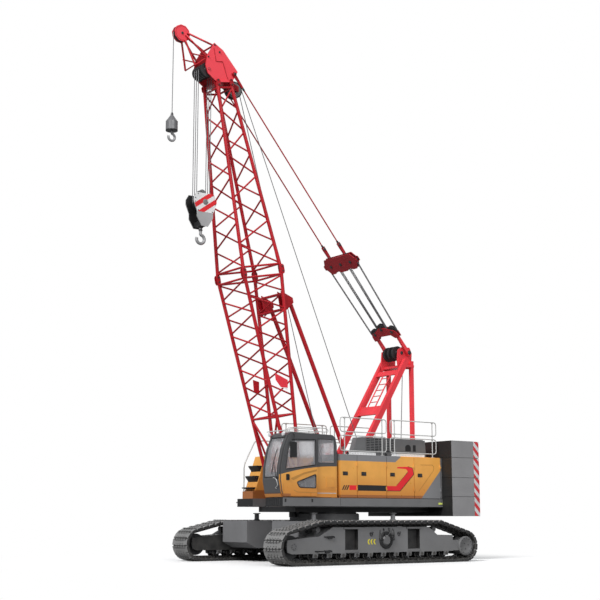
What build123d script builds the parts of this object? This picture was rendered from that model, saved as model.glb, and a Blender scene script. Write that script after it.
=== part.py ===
from build123d import *
from math import atan2, cos, hypot, pi, radians, sin
import os

os.makedirs("parts", exist_ok=True)

# Driving dimensions in millimetres. X points to the boom's side, Y to the cab's side, Z up.
TRACK_Y = 2600  # centre line of each track from the middle
SHOE_WIDTH = 900
TRACK_TOP = 1285
IDLER = (3380, 535, 520)  # x, z and radius over the shoes
SPROCKET = (-3420, 500, 480)
SHOES = 70
SHOE_DEPTH, SHOE_GAP, CHAIN_DEPTH = 75, 45, 165
FRAME_HALF, FRAME_INNER = 350, 300  # side plates of a track frame, from its centre line
BEAM_X, BEAM_W = 1240, 480  # axle beams of the lower works
DECK_HALF, DECK_LOW, DECK_TOP = 1700, 1727, 1985
BAY_HALF = 800  # open bay between the two housings
BAY_FLOOR = 1720
HOUSE_REAR, HOUSE_FRONT, HOUSE_TOP = -3600, 680, 3350
DOOR_OUT = DECK_HALF  # outer face of the doors, flush with the deck's edge
HOUSE_SIDE, DOOR_T = DOOR_OUT - 50, 40  # face of the housing behind its doors, and the doors' thickness
CAB_IN, CAB_OUT, CAB_REAR, CAB_FLOOR = BAY_HALF, DECK_HALF - 40, 770, DECK_TOP + 15
CATWALK = 260  # width of the catwalk beside the right housing
CW_HALF, CW_FRONT, CW_REAR = 2180, -3660, -5050
BOOM_ANGLE = 78.21
FOOT_X, FOOT_Z = 1500, 1935
JOINT_S, BOOM_END = 7320, 13550  # section joint and top of the chords along the boom
STAY_X, STAY_Z = -3280, 7000  # pin of the stay on the gantry
GANTRY_SHEAVE, GANTRY_SHEAVE_R = (-3050, 6990), 240
LUFF_DRUM, MAIN_DRUM, AUX_DRUM = (-2850, 2380), (-1600, 2600), (150, 2600)  # x and z of the winches
LUFF_BARREL, BARREL = 230, 280  # radius of the luffing winch's barrel, and of the two hoist winches
HEAD_PIN, HEAD_PLATE_Y = (13810, 380), 380  # pendants' pin, s and n, and outer face of the head's plates
GUIDE, GUIDE_R = (13400, 530), 270  # sheaves behind the boom's head
HEAD, FALL = (14000, -525), 240  # main sheaves at the head, and their ropes' radius
ROPE = 13  # radius of every rope
LUG_S, LUG_N = 6270, 980  # pins of the backstops behind the boom
STOP_X, STOP_Z, STOP_Y = -450, 3450, 550  # lower pins of the backstops
RUN = 0.2  # running clearance at pins, ropes and rails

c_boom, s_boom = cos(radians(BOOM_ANGLE)), sin(radians(BOOM_ANGLE))


def boom_xz(s, n):
    """Place in the X-Z plane of a point s along the boom and n behind its centre line."""
    return FOOT_X + s * c_boom - n * s_boom, FOOT_Z + s * s_boom + n * c_boom


def on_boom(s, n, y):
    x, z = boom_xz(s, n)
    return x, y, z


head_x, head_z = boom_xz(*HEAD_PIN)
stay_angle = atan2(head_z - STAY_Z, head_x - STAY_X)
STAY_LENGTH = hypot(head_z - STAY_Z, head_x - STAY_X)


def on_stay(d, y, m=0):
    """Point d along the stay from the gantry's pin, m above its line."""
    x = STAY_X + d * cos(stay_angle) - m * sin(stay_angle)
    return x, y, STAY_Z + d * sin(stay_angle) + m * cos(stay_angle)


def box(x0, x1, y0, y1, z0, z1, mode=Mode.ADD):
    with Locations(((x0 + x1) / 2, (y0 + y1) / 2, (z0 + z1) / 2)):
        return Box(abs(x1 - x0), abs(y1 - y0), abs(z1 - z0), mode=mode)


def rod(a, b, radius, mode=Mode.ADD):
    along = Vector(*b) - Vector(*a)
    with Locations(Plane(origin=a, z_dir=along).location):
        return Cylinder(radius, along.length, align=(Align.CENTER, Align.CENTER, Align.MIN), mode=mode)


def bars(pairs, radius):
    """Round bars between pairs of points, joined to the piece in one step."""
    add([rod(a, b, radius, Mode.PRIVATE) for a, b in pairs])


def side_plate(points, y0, y1, mode=Mode.ADD):
    """Plate with an outline of x and z, from y0 to y1."""
    with BuildSketch(Plane.XZ.offset(-y0)) as outline:
        Polygon(*points, align=None)
    extrude(outline.sketch, amount=y0 - y1, mode=mode)


def flat_plate(points, z0, z1, mode=Mode.ADD):
    """Plate with an outline of x and y, from z0 to z1."""
    with BuildSketch(Plane.XY.offset(z0)) as outline:
        Polygon(*points, align=None)
    extrude(outline.sketch, amount=z1 - z0, mode=mode)


def disc(x, z, y0, y1, radius, mode=Mode.ADD):
    """Round piece about a cross axis."""
    return rod((x, y0, z), (x, y1, z), radius, mode)


def save(piece, label):
    piece.part.label = label
    export_step(piece.part, f"parts/{label}.step")


# Belt of a track: the line of its shoes' outer faces, walked once round.
def track_line():
    ix, iz, ir = IDLER
    sx, sz, sr = SPROCKET
    line = [(-3050, 0), (3050, 0)]
    line += [(ix + ir * cos(radians(a)), iz + ir * sin(radians(a))) for a in range(-87, 78, 11)]
    line += [(2400, TRACK_TOP), (-2400, TRACK_TOP)]
    line += [(sx + sr * cos(radians(a)), sz + sr * sin(radians(a))) for a in range(106, 268, 11)]
    return line


def walk(line, count):
    """Evenly spaced places on a closed line, each with its outward normal."""
    ends = line[1:] + line[:1]
    lengths = [hypot(b[0] - a[0], b[1] - a[1]) for a, b in zip(line, ends)]
    total, places = sum(lengths), []
    for i in range(count):
        left, k = total * i / count, 0
        while left > lengths[k]:
            left, k = left - lengths[k], k + 1
        (ax, az), (bx, bz) = line[k], ends[k]
        ux, uz = (bx - ax) / lengths[k], (bz - az) / lengths[k]
        places.append((ax + ux * left, az + uz * left, uz, -ux))
    return places


def belt_outline():
    """Shoes with narrow gaps: of eight steps to a shoe, the gap's bottom and the shoe's two ends."""
    outline = []
    for i, (x, z, out_x, out_z) in enumerate(walk(track_line(), SHOES * 8)):
        if i % 8 in (0, 1, 7):
            depth = SHOE_GAP if i % 8 == 0 else 0
            outline.append((x - depth * out_x, z - depth * out_z))
    return outline


def belt_inner(depth):
    line = track_line()
    inner = []
    for i, (x, z) in enumerate(line):
        (px, pz), (qx, qz) = line[i - 1], line[(i + 1) % len(line)]
        length = hypot(qx - px, qz - pz)
        inner.append((x - depth * (qz - pz) / length, z + depth * (qx - px) / length))
    return inner


def track(side):
    y = side * TRACK_Y
    side_plate(belt_outline(), y - SHOE_WIDTH / 2, y + SHOE_WIDTH / 2)
    side_plate(belt_inner(SHOE_DEPTH), y - SHOE_WIDTH / 2, y + SHOE_WIDTH / 2, Mode.SUBTRACT)
    side_plate(belt_inner(SHOE_DEPTH - 2), y - 130, y + 130)
    side_plate(belt_inner(CHAIN_DEPTH), y - 130, y + 130, Mode.SUBTRACT)


with BuildPart() as track_left:
    track(1)
save(track_left, "track_left")

with BuildPart() as track_right:
    track(-1)
save(track_right, "track_right")

# Track frames: side profile, roller channel, idler fork, axle tunnels and roller brackets.
FRAME_PROFILE = [(-2900, 345), (3450, 345), (3600, 400), (3630, 560), (3600, 740), (2900, 810),
                 (2450, 840), (1950, 1100), (-1880, 1100), (-2240, 850), (-2900, 840)]
ROLLER_X = [-2600 + 520 * i for i in range(11)]
ROLLER_R, ROLLER_Z = 105, CHAIN_DEPTH + 105.1


def track_frame(side):
    y = side * TRACK_Y
    side_plate(FRAME_PROFILE, y - FRAME_HALF, y + FRAME_HALF)
    box(-2950, 3700, y - FRAME_INNER, y + FRAME_INNER, 300, 390, Mode.SUBTRACT)
    box(2960, 3700, y - FRAME_INNER, y + FRAME_INNER, 300, 1000, Mode.SUBTRACT)
    for x in (BEAM_X, -BEAM_X):
        box(x - BEAM_W / 2 - 10, x + BEAM_W / 2 + 10, y - 400, y + 400, 430, 1040, Mode.SUBTRACT)
    for edge in (-1, 1):
        for x in ROLLER_X:
            box(x - 80, x + 80, y + edge * FRAME_INNER, y + edge * FRAME_HALF, 225, 360)
        box(-3300, -2850, y + edge * FRAME_INNER, y + edge * FRAME_HALF, 360, 680)
        disc(SPROCKET[0], SPROCKET[1], y + edge * 40, y + edge * FRAME_HALF, 270)
    disc(SPROCKET[0], SPROCKET[1], y + side * FRAME_HALF, y + side * 395, 300)
    for x in (2300, -2330):
        box(x - 50, x + 50, y - 60, y + 60, 800, 960)
        disc(x, 1025, y - 90, y + 90, 80)


with BuildPart() as track_frame_left:
    track_frame(1)
save(track_frame_left, "track_frame_left")

with BuildPart() as track_frame_right:
    track_frame(-1)
save(track_frame_right, "track_frame_right")


def track_rollers(side):
    """Lower rollers between their brackets, each with two flanges."""
    y = side * TRACK_Y
    for x in ROLLER_X:
        disc(x, ROLLER_Z, y - FRAME_INNER, y + FRAME_INNER, 45)
        disc(x, ROLLER_Z, y - 220, y + 220, ROLLER_R)


def track_wheels(side):
    """Front idler on its shaft, and the rear sprocket between the halves of its hub."""
    y = side * TRACK_Y
    disc(IDLER[0], IDLER[1], y - FRAME_INNER, y + FRAME_INNER, 95)
    disc(IDLER[0], IDLER[1], y - 150, y + 150, IDLER[2] - CHAIN_DEPTH - 12)
    disc(SPROCKET[0], SPROCKET[1], y - 40, y + 40, SPROCKET[2] - CHAIN_DEPTH - 12)


with BuildPart() as track_wheels_left:
    track_rollers(1)
    track_wheels(1)
save(track_wheels_left, "track_wheels_left")

with BuildPart() as track_wheels_right:
    track_rollers(-1)
    track_wheels(-1)
save(track_wheels_right, "track_wheels_right")

# Lower works: centre box with the two axle beams that reach into the track frames.
with BuildPart() as carbody:
    box(-1500, 1500, -1500, 1500, 450, 1200)
    box(-1500, 1500, -1900, 1900, 1200, 1280)
    for x in (BEAM_X, -BEAM_X):
        box(x - BEAM_W / 2, x + BEAM_W / 2, -2800, 2800, 430, 1030)
save(carbody, "carbody")

BLOCK_PROFILE = [(1500, 1280), (2560, 1280), (2560, 610), (2200, 430), (1500, 430)]
with BuildPart() as carbody_weights:
    for side in (-1, 1):
        side_plate(BLOCK_PROFILE, side * 690, side * 2100)
        side_plate([(-x, z) for x, z in BLOCK_PROFILE], side * 690, side * 2100)
    for x in (-1600, 1600):
        for y in (-1550, 1550):
            rod((x, y, 1280), (x, y, 1520), 75)
save(carbody_weights, "carbody_weights")

with BuildPart() as slew_ring_lower:
    rod((0, 0, 1280), (0, 0, 1500), 1130)
    rod((0, 0, 1280), (0, 0, 1500), 900, Mode.SUBTRACT)
save(slew_ring_lower, "slew_ring_lower")

# Upper works: deck with its underframe, turntable ring, slewing drive and boom foot brackets.
EAR = [(1180, BAY_FLOOR), (1850, BAY_FLOOR), (1640, 2010), (1560, 2070), (1440, 2070), (1330, 1980)]
with BuildPart() as deck:
    box(CW_FRONT, 2880, BAY_HALF, DECK_HALF, DECK_LOW, DECK_TOP)
    box(CW_FRONT, 2270, -DECK_HALF, -BAY_HALF, DECK_LOW, DECK_TOP)
    box(CW_FRONT, 1900, -BAY_HALF, BAY_HALF, 1560, BAY_FLOOR)
    flat_plate([(CW_FRONT, 700), (1900, 700), (1900, 1000), (CW_FRONT, 1000)], 1560, DECK_LOW)
    flat_plate([(CW_FRONT, -700), (1900, -700), (1900, -1000), (CW_FRONT, -1000)], 1560, DECK_LOW)
    for side in (-1, 1):
        for y in (555, 725):
            side_plate(EAR, side * y - 25, side * y + 25)
        disc(FOOT_X, FOOT_Z, side * 530, side * 750, 60)
    rod((0, 0, 1500.2), (0, 0, 1565), 1040)
    rod((1270, 0, 1400), (1270, 0, 1565), 120)
save(deck, "deck")

# Housings: hollow boxes, open where their doors close them. Doors are [front x, rear x].
LEFT_DOORS = [(665, 0), (-20, -1220), (-1240, -2410), (-2430, -3585)]
RIGHT_DOORS = [(1190, -20), (-40, -1790), (-1810, -3585)]
DOOR_LOW, DOOR_TOP = 2005, 3335
WALL = 40
HINGE_Z = (2300, 3050)  # joint line of each door's two hinges
KNUCKLE_IN, KNUCKLE_R = 20, 12  # hinge axis ahead of the door's rear edge, and the knuckles' radius
KNUCKLE_Y = DOOR_OUT + KNUCKLE_R + 3


def hinge_leaves(doors, side):
    """The housing's half of the hinges, reaching out through the gap between two doors."""
    for front, rear in doors:
        for z in HINGE_Z:
            box(rear - 16, rear - 4, side * HOUSE_SIDE, side * (KNUCKLE_Y + 6), z - 60, z)
            box(rear - 16, rear + KNUCKLE_IN, side * (KNUCKLE_Y - 6), side * (KNUCKLE_Y + 6), z - 60, z)
            x, y = rear + KNUCKLE_IN, side * KNUCKLE_Y
            rod((x, y, z - 60), (x, y, z), KNUCKLE_R)


def door_openings(doors, side):
    for front, rear in doors:
        box(rear + 50, front - 50, side * (HOUSE_SIDE - 100), side * (HOUSE_SIDE + 10),
            DOOR_LOW + 60, DOOR_TOP - 60, Mode.SUBTRACT)


with BuildPart() as left_housing:
    box(HOUSE_REAR, HOUSE_FRONT, BAY_HALF, HOUSE_SIDE, DECK_TOP, HOUSE_TOP)
    box(HOUSE_REAR + WALL, HOUSE_FRONT - WALL, BAY_HALF + WALL, HOUSE_SIDE - WALL,
        DECK_TOP, HOUSE_TOP - WALL, Mode.SUBTRACT)
    door_openings(LEFT_DOORS, 1)
    hinge_leaves(LEFT_DOORS, 1)
save(left_housing, "left_housing")

NOSE_SIDE = HOUSE_SIDE - 250
NOSE = [(1240, DECK_TOP), (2270, DECK_TOP), (2270, 2220), (2190, 2220), (2160, 2280), (1780, HOUSE_TOP),
        (1240, HOUSE_TOP)]
with BuildPart() as right_housing:
    box(HOUSE_REAR, 1240, -HOUSE_SIDE, -BAY_HALF, DECK_TOP, HOUSE_TOP)
    side_plate(NOSE, -NOSE_SIDE, -BAY_HALF)
    box(HOUSE_REAR + WALL, 1240 - WALL, -HOUSE_SIDE + WALL, -BAY_HALF - WALL,
        DECK_TOP, HOUSE_TOP - WALL, Mode.SUBTRACT)
    door_openings(RIGHT_DOORS, -1)
    hinge_leaves(RIGHT_DOORS, -1)
save(right_housing, "right_housing")


def door(span, side):
    """Door panel with its half of two hinges at the rear edge."""
    front, rear = span
    hinge_x = rear + KNUCKLE_IN
    box(rear, front, side * (DOOR_OUT - DOOR_T), side * DOOR_OUT, DOOR_LOW, DOOR_TOP)
    for z in HINGE_Z:
        rod((hinge_x, side * KNUCKLE_Y, z + RUN), (hinge_x, side * KNUCKLE_Y, z + 60), KNUCKLE_R)
        box(hinge_x - 8, hinge_x + 8, side * DOOR_OUT, side * KNUCKLE_Y, z + RUN, z + 60)


with BuildPart() as left_door_1:
    door(LEFT_DOORS[0], 1)
save(left_door_1, "left_door_1")

with BuildPart() as left_door_2:
    door(LEFT_DOORS[1], 1)
save(left_door_2, "left_door_2")

with BuildPart() as left_door_3:
    door(LEFT_DOORS[2], 1)
save(left_door_3, "left_door_3")

with BuildPart() as left_door_4:
    door(LEFT_DOORS[3], 1)
save(left_door_4, "left_door_4")

with BuildPart() as right_door_1:
    door(RIGHT_DOORS[0], -1)
save(right_door_1, "right_door_1")

with BuildPart() as right_door_2:
    door(RIGHT_DOORS[1], -1)
save(right_door_2, "right_door_2")

with BuildPart() as right_door_3:
    door(RIGHT_DOORS[2], -1)
save(right_door_3, "right_door_3")

with BuildPart() as engine:
    box(-3200, -1000, BAY_HALF + 100, HOUSE_SIDE - 90, DECK_TOP, 3150)
save(engine, "engine")

HOOD = [(-150, HOUSE_TOP), (-350, 3930), (-3280, 3930), (-3330, HOUSE_TOP)]
HOOD_IN, HOOD_OUT = BAY_HALF + 260, HOUSE_SIDE - 350
with BuildPart() as engine_hood:
    side_plate(HOOD, HOOD_IN, HOOD_OUT)
    side_plate([(-230, HOUSE_TOP), (-390, 3890), (-3240, 3890), (-3290, HOUSE_TOP)], HOOD_IN + WALL,
               HOOD_OUT - WALL, Mode.SUBTRACT)
save(engine_hood, "engine_hood")


def rail_loop(x0, x1, y, z0, z1, posts):
    """Guard rail: a loop of tube with a middle rail, on posts that stand on the roof."""
    bend = 150
    corners = [(x0, z0 + bend), (x0, z1 - bend), (x0 + bend, z1), (x1 - bend, z1), (x1, z1 - bend),
               (x1, z0 + bend), (x1 - bend, z0), (x0 + bend, z0)]
    pairs = [((a[0], y, a[1]), (b[0], y, b[1])) for a, b in zip(corners, corners[1:] + corners[:1])]
    pairs.append(((x0, y, (z0 + z1) / 2), (x1, y, (z0 + z1) / 2)))
    pairs += [((x, y, HOUSE_TOP), (x, y, z1)) for x in posts]
    bars(pairs, 19)


with BuildPart() as handrails:
    for side in (-1, 1):
        rail_loop(-1330, 580, side * (HOUSE_SIDE - 60), 3450, 4520, (-1150, 400))
        rail_loop(-3520, -1500, side * (HOUSE_SIDE - 60), 3450, 4520, (-3350, -1680))
    nose_rail = [(2232, 2220), (2232, 3070), (1800, 3880), (900, 3880), (900, HOUSE_TOP)]
    nose_rail = [(x, 20 - NOSE_SIDE, z) for x, z in nose_rail]
    bars(list(zip(nose_rail, nose_rail[1:])), 19)
save(handrails, "handrails")

# Steps on the right housing's sloped nose, and the catwalk along its side.
def nose_face(z):
    return 2160 - (z - 2280) * 380 / 1070


with BuildPart() as access_steps:
    for z in (2345, 2710, 3040):
        low = max(z - 190, 2285)
        side_plate([(nose_face(z), z), (nose_face(z) + 200, z), (nose_face(z) + 200, z - 30),
                    (nose_face(low), low)], 55 - NOSE_SIDE, -BAY_HALF - 30)
    box(-3550, 2150, -DECK_HALF - CATWALK, -DECK_HALF, 1850, 1885)
    for x in (-3300, -2200, -1100, 0, 1100, 2000):
        box(x - 20, x + 20, -DECK_HALF - CATWALK + 60, -DECK_HALF, 1760, 1850)
save(access_steps, "access_steps")

# Cab: hollow shell with its windows cut, behind a door that closes its left side.
CAB_PROFILE = [(770, 2000), (2880, 2000), (2930, 2150), (3000, 2520), (2985, 2900), (2870, 3450),
               (2680, 3880), (2560, 3960), (950, 3930), (830, 3860), (770, 3600)]
CAB_INSIDE = [(820, 2060), (2840, 2060), (2880, 2160), (2945, 2520), (2930, 2890), (2815, 3430), (2640, 3830),
              (2540, 3900), (960, 3870), (870, 3820), (820, 3590)]
DOOR_X = 1580  # rear edge of the cab door
RAIL_TOP = 2265  # lower rail that the cab door slides on
WINDSHIELD = [(3300, 2600), (2700, 2600), (2500, 3800), (3300, 3800)]
INNER_WINDOW = [(960, 2950), (2760, 2750), (2640, 3700), (960, 3780)]
with BuildPart() as cab_shell:
    side_plate(CAB_PROFILE, CAB_IN, CAB_OUT)
    side_plate(CAB_INSIDE, CAB_IN + 40, CAB_OUT - 40, Mode.SUBTRACT)
    side_plate(WINDSHIELD, CAB_IN + 90, CAB_OUT - 90, Mode.SUBTRACT)
    side_plate([(DOOR_X + 60, 2090), (2790, 2090), (2860, 2560), (2830, 2900), (2730, 3420), (2580, 3780),
                (DOOR_X + 60, 3800)], CAB_OUT - 60, CAB_OUT + 10, Mode.SUBTRACT)
    box(860, DOOR_X - 60, CAB_OUT - 60, CAB_OUT + 10, 3050, 3790, Mode.SUBTRACT)
    side_plate(INNER_WINDOW, CAB_IN - 10, CAB_IN + 60, Mode.SUBTRACT)
    box(CAB_REAR - 10, CAB_REAR + 80, CAB_IN + 110, CAB_OUT - 110, 3050, 3700, Mode.SUBTRACT)
    for x in (900, 2700):
        for y in (CAB_IN + 30, CAB_OUT - 130):
            box(x - 60, x + 60, y, y + 100, DECK_TOP, CAB_FLOOR)
    box(790, 2300, CAB_OUT, CAB_OUT + 8, RAIL_TOP - 30, RAIL_TOP)
save(cab_shell, "cab_shell")

with BuildPart() as cab_glass:
    side_plate([(2993, 2600), (2978, 2900), (2862, 3450), (2702, 3800), (2690, 3800), (2850, 3450),
                (2966, 2900), (2981, 2600)], CAB_IN + 90, CAB_OUT - 90)
    box(860, DOOR_X - 60, CAB_OUT - 22, CAB_OUT - 10, 3050, 3790)
    side_plate(INNER_WINDOW, CAB_IN + 10, CAB_IN + 22)
    box(CAB_REAR + 10, CAB_REAR + 22, CAB_IN + 110, CAB_OUT - 110, 3050, 3700)
save(cab_glass, "cab_glass")

SEAT_Y = (CAB_IN + CAB_OUT) / 2
with BuildPart() as cab_seat:
    box(1350, 1850, SEAT_Y - 230, SEAT_Y + 230, 2060, 2350)
    box(1300, 1850, SEAT_Y - 230, SEAT_Y + 230, 2350, 2500)
    side_plate([(1250, 2450), (1400, 2450), (1330, 3150), (1180, 3150)], SEAT_Y - 210, SEAT_Y + 210)
    box(2350, 2600, SEAT_Y - 280, SEAT_Y + 270, 2060, 2750)
    for y in (CAB_IN + 80, CAB_OUT - 100):
        box(1500, 2050, y - 35, y + 35, 2060, 2700)
save(cab_seat, "cab_seat")

CAB_DOOR = [(DOOR_X, 2030), (2860, 2030), (2905, 2160), (2965, 2520), (2950, 2890), (2835, 3440),
            (2650, 3850), (2560, 3900), (DOOR_X, 3890)]
DOOR_WINDOW = [(DOOR_X + 70, 2985), (2790, 2830), (2700, 3400), (2560, 3740), (DOOR_X + 70, 3760)]
LOW_WINDOW = [(DOOR_X + 60, 2280), (2270, 2290), (2370, 2450), (DOOR_X + 60, 2700)]
with BuildPart() as cab_door:
    side_plate(CAB_DOOR, CAB_OUT + 12, CAB_OUT + 60)
    side_plate(DOOR_WINDOW, CAB_OUT, CAB_OUT + 70, Mode.SUBTRACT)
    side_plate(LOW_WINDOW, CAB_OUT, CAB_OUT + 70, Mode.SUBTRACT)
    for x in (1610, 2120):
        box(x, x + 110, CAB_OUT + RUN, CAB_OUT + 20, RAIL_TOP + RUN, RAIL_TOP + 35)
save(cab_door, "cab_door")

with BuildPart() as cab_door_glass:
    side_plate(DOOR_WINDOW, CAB_OUT + 30, CAB_OUT + 42)
    side_plate(LOW_WINDOW, CAB_OUT + 30, CAB_OUT + 42)
save(cab_door_glass, "cab_door_glass")

# Counterweight: tray on the deck's rear, and the slabs with a groove at each joint.
CW_PLAN = [(CW_FRONT, -CW_HALF), (-4660, -CW_HALF), (CW_REAR, -2050), (CW_REAR, 2050), (-4660, CW_HALF),
           (CW_FRONT, CW_HALF)]
CW_GROOVE = [(x + (25 if x < CW_FRONT else -25), y * 0.988) for x, y in CW_PLAN]
with BuildPart() as counterweight_tray:
    flat_plate(CW_PLAN, 1430, 2060)
save(counterweight_tray, "counterweight_tray")

with BuildPart() as counterweight_slabs:
    for low, top in ((2060, 2685), (2700, 3345), (3360, 3910)):
        flat_plate(CW_PLAN, low + 15 * (low == 2060), top)
    flat_plate(CW_GROOVE, 2060, 3500)
save(counterweight_slabs, "counterweight_slabs")

# Gantry: sloped front legs with cross plates and a ladder, upright rear legs and the head plates.
LEG_DIR = (-2.86, 4.60)  # x and z per unit from foot to head
LEG_UNIT = hypot(*LEG_DIR)


def on_leg(along, across):
    """Point along the front legs' line from the bay's floor, and across it to the front."""
    ux, uz = LEG_DIR[0] / LEG_UNIT, LEG_DIR[1] / LEG_UNIT
    return along * ux + across * uz, BAY_FLOOR + along * uz - across * ux


with BuildPart() as gantry:
    for side in (-1, 1):
        side_plate([(-120, BAY_FLOOR), (120, BAY_FLOOR), on_leg(5890, 95), on_leg(5890, -95)],
                   side * 530, side * 670)
        box(-3410, -3290, side * 540, side * 660, BAY_FLOOR, 6700)
        side_plate([(-2900, 6420), (-2860, 6700), (-2900, 7080), (-3060, 7190), (-3420, 7200), (-3520, 7000),
                    (-3480, 6450)], side * 400, side * 450)
        disc(STAY_X, STAY_Z, side * 400, side * 600, 50)
    for low, top in ((3600, 3950), (5260, 5460)):
        side_plate([on_leg(low, 60), on_leg(top, 60), on_leg(top, 20), on_leg(low, 20)], -530, 530)
    for side in (-1, 1):
        (x0, z0), (x1, z1) = on_leg(3900, 40), on_leg(5300, 40)
        rod((x0, side * 200, z0), (x1, side * 200, z1), 22)
    for along in range(4150, 5200, 250):
        disc(*on_leg(along, 40), -200, 200, 16)
    box(-3420, -2960, -670, 670, 6480, 6560)
    box(-3320, -3240, 180, 260, 6470, 6570, Mode.SUBTRACT)
    for side in (-1, 1):
        for y in (STOP_Y - 105, STOP_Y + 80):
            side_plate([(-740, 2680), (-560, 2400), (-380, 3380), (-450, 3540), (-560, 3480)],
                       side * y, side * (y + 25))
        disc(STOP_X, STOP_Z, side * (STOP_Y - 105), side * (STOP_Y + 105), 30)
save(gantry, "gantry")

with BuildPart() as gantry_sheaves:
    disc(*GANTRY_SHEAVE, -400, 400, 35)
    for y in (-220, 0, 220):
        disc(*GANTRY_SHEAVE, y - 40, y + 40, GANTRY_SHEAVE_R)
save(gantry_sheaves, "gantry_sheaves")

with BuildPart() as winch_frames:
    for x, z in (AUX_DRUM, MAIN_DRUM, LUFF_DRUM):
        for side in (-1, 1):
            side_plate([(x - 260, BAY_FLOOR), (x + 260, BAY_FLOOR), (x + 120, z + 100), (x - 120, z + 100)],
                       side * 470, side * 500)
save(winch_frames, "winch_frames")


def drum(place, barrel, flange):
    x, z = place
    disc(x, z, RUN - 470, 470 - RUN, 60)
    disc(x, z, -400, 400, barrel)
    for y in (-1, 1):
        disc(x, z, y * 400, y * 440, flange)


with BuildPart() as luff_drum:
    drum(LUFF_DRUM, LUFF_BARREL, 340)
save(luff_drum, "luff_drum")

with BuildPart() as main_drum:
    drum(MAIN_DRUM, BARREL, 400)
save(main_drum, "main_drum")

with BuildPart() as aux_drum:
    drum(AUX_DRUM, BARREL, 400)
save(aux_drum, "aux_drum")


# Lines from the winches: one up to the gantry's sheaves, two to the sheaves behind the boom's head.
def winch_line(drum_place, barrel, sheave, radius, y):
    """Rope from the rear of a drum's barrel to the rear of its sheave."""
    (x, z), (gx, gz) = drum_place, sheave
    run = hypot(gx - x, gz - z)
    ux, uz = -(gz - z) / run, (gx - x) / run
    low, top = barrel + ROPE + RUN, radius + ROPE + RUN
    rod((x + low * ux, y, z + low * uz), (gx + top * ux, y, gz + top * uz), ROPE)


with BuildPart() as luff_winch_line:
    winch_line(LUFF_DRUM, LUFF_BARREL, GANTRY_SHEAVE, GANTRY_SHEAVE_R, 220)
save(luff_winch_line, "luff_winch_line")

with BuildPart() as main_line:
    winch_line(MAIN_DRUM, BARREL, boom_xz(*GUIDE), GUIDE_R, 75)
save(main_line, "main_line")

with BuildPart() as aux_line:
    winch_line(AUX_DRUM, BARREL, boom_xz(*GUIDE), GUIDE_R, -75)
save(aux_line, "aux_line")

# Stay: lower spreader on its links, ropes to the bridle, and two pendants to the boom's head.
def stay_plate(d, outline, low, top, mode=Mode.ADD):
    """Plate square to the stay's side view: outline of y and distance along, from low to top across."""
    across = (-sin(stay_angle), 0, cos(stay_angle))
    with BuildSketch(Plane(origin=on_stay(d, 0, low), x_dir=(0, 1, 0), z_dir=across)) as face:
        Polygon(*[(y, -along) for y, along in outline], align=None)
    extrude(face.sketch, amount=top - low, mode=mode)


def stay_sheave(d, y, radius):
    rod(on_stay(d, y, -40), on_stay(d, y, 40), radius)
    rod(on_stay(d, y, -70), on_stay(d, y, 70), 30)


SPREADER_D, BRIDLE_D = 950, 3850
SPREADER = [(-640, -260), (-640, -60), (-560, 40), (-440, 60), (-150, 200), (150, 200), (440, 60), (560, 40),
            (640, -60), (640, -260), (440, -260), (300, -120), (-300, -120), (-440, -260)]
with BuildPart() as lower_spreader:
    for low in (-70, 45):
        stay_plate(SPREADER_D, SPREADER, low, low + 25)
    for y, along in ((-440, 0), (0, 150), (440, 0)):
        stay_sheave(SPREADER_D + along, y, 205 - ROPE - RUN)
    for side in (-1, 1):
        foot = SPREADER_D - 160
        rod(on_stay(foot, side * 460), on_stay(foot, side * 600), 40)
        rod(on_stay(foot, side * 520, -70), on_stay(foot, side * 520, 70), 40)
        side_link = [on_stay(d, 0, m) for d, m in ((-90, -70), (-90, 70), (foot + 90, 45), (foot + 90, -45))]
        side_plate([(p[0], p[2]) for p in side_link], side * 480, side * 560)
        disc(STAY_X, STAY_Z, side * 470, side * 570, 50 + RUN, Mode.SUBTRACT)
save(lower_spreader, "lower_spreader")

BRIDLE = [(-880, -70), (-880, 90), (-800, 120), (-690, 300), (690, 300), (800, 120), (880, 90), (880, -70),
          (800, -90), (670, -290), (480, -290), (330, -215), (170, -290), (-170, -290), (-330, -215),
          (-480, -290), (-670, -290), (-800, -90)]
with BuildPart() as bridle:
    for low in (-70, 45):
        stay_plate(BRIDLE_D, BRIDLE, low, low + 25)
    for y in (-520, 0, 520):
        stay_sheave(BRIDLE_D, y, 232 - ROPE - RUN)
    for side in (-1, 1):
        rod(on_stay(BRIDLE_D + 10, side * 835, -80), on_stay(BRIDLE_D + 10, side * 835, 80), 38)
        link = [on_stay(BRIDLE_D + d, 0, m) for d, m in ((240, -45), (240, 45), (760, 60), (760, -60))]
        side_plate([(p[0], p[2]) for p in link], side * 390, side * 450)
save(bridle, "bridle")

with BuildPart() as pendants:
    for side in (-1, 1):
        y = side * 420
        rod(on_stay(BRIDLE_D + 760, y), on_stay(STAY_LENGTH - 60, y), 22)
        disc(head_x, head_z, side * (HEAD_PLATE_Y + RUN), side * 480, 35)
        link = [on_stay(STAY_LENGTH + 70, 0, -60), on_stay(STAY_LENGTH + 70, 0, 60),
                on_stay(STAY_LENGTH - 520, 0, 30), on_stay(STAY_LENGTH - 520, 0, -30)]
        side_plate([(p[0], p[2]) for p in link], side * 400, side * 440)
save(pendants, "pendants")

ROPE_RUNS = [(side * y0, side * y1) for side in (-1, 1) for y0, y1 in ((645, 752), (235, 288), (205, 232))]
with BuildPart() as luff_ropes:
    for y0, y1 in ROPE_RUNS:
        start = SPREADER_D + (150 if abs(y0) == 205 else 0)
        for m in (-20, 20):
            rod(on_stay(start, y0, m), on_stay(BRIDLE_D, y1, m), ROPE)
save(luff_ropes, "luff_ropes")

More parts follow.
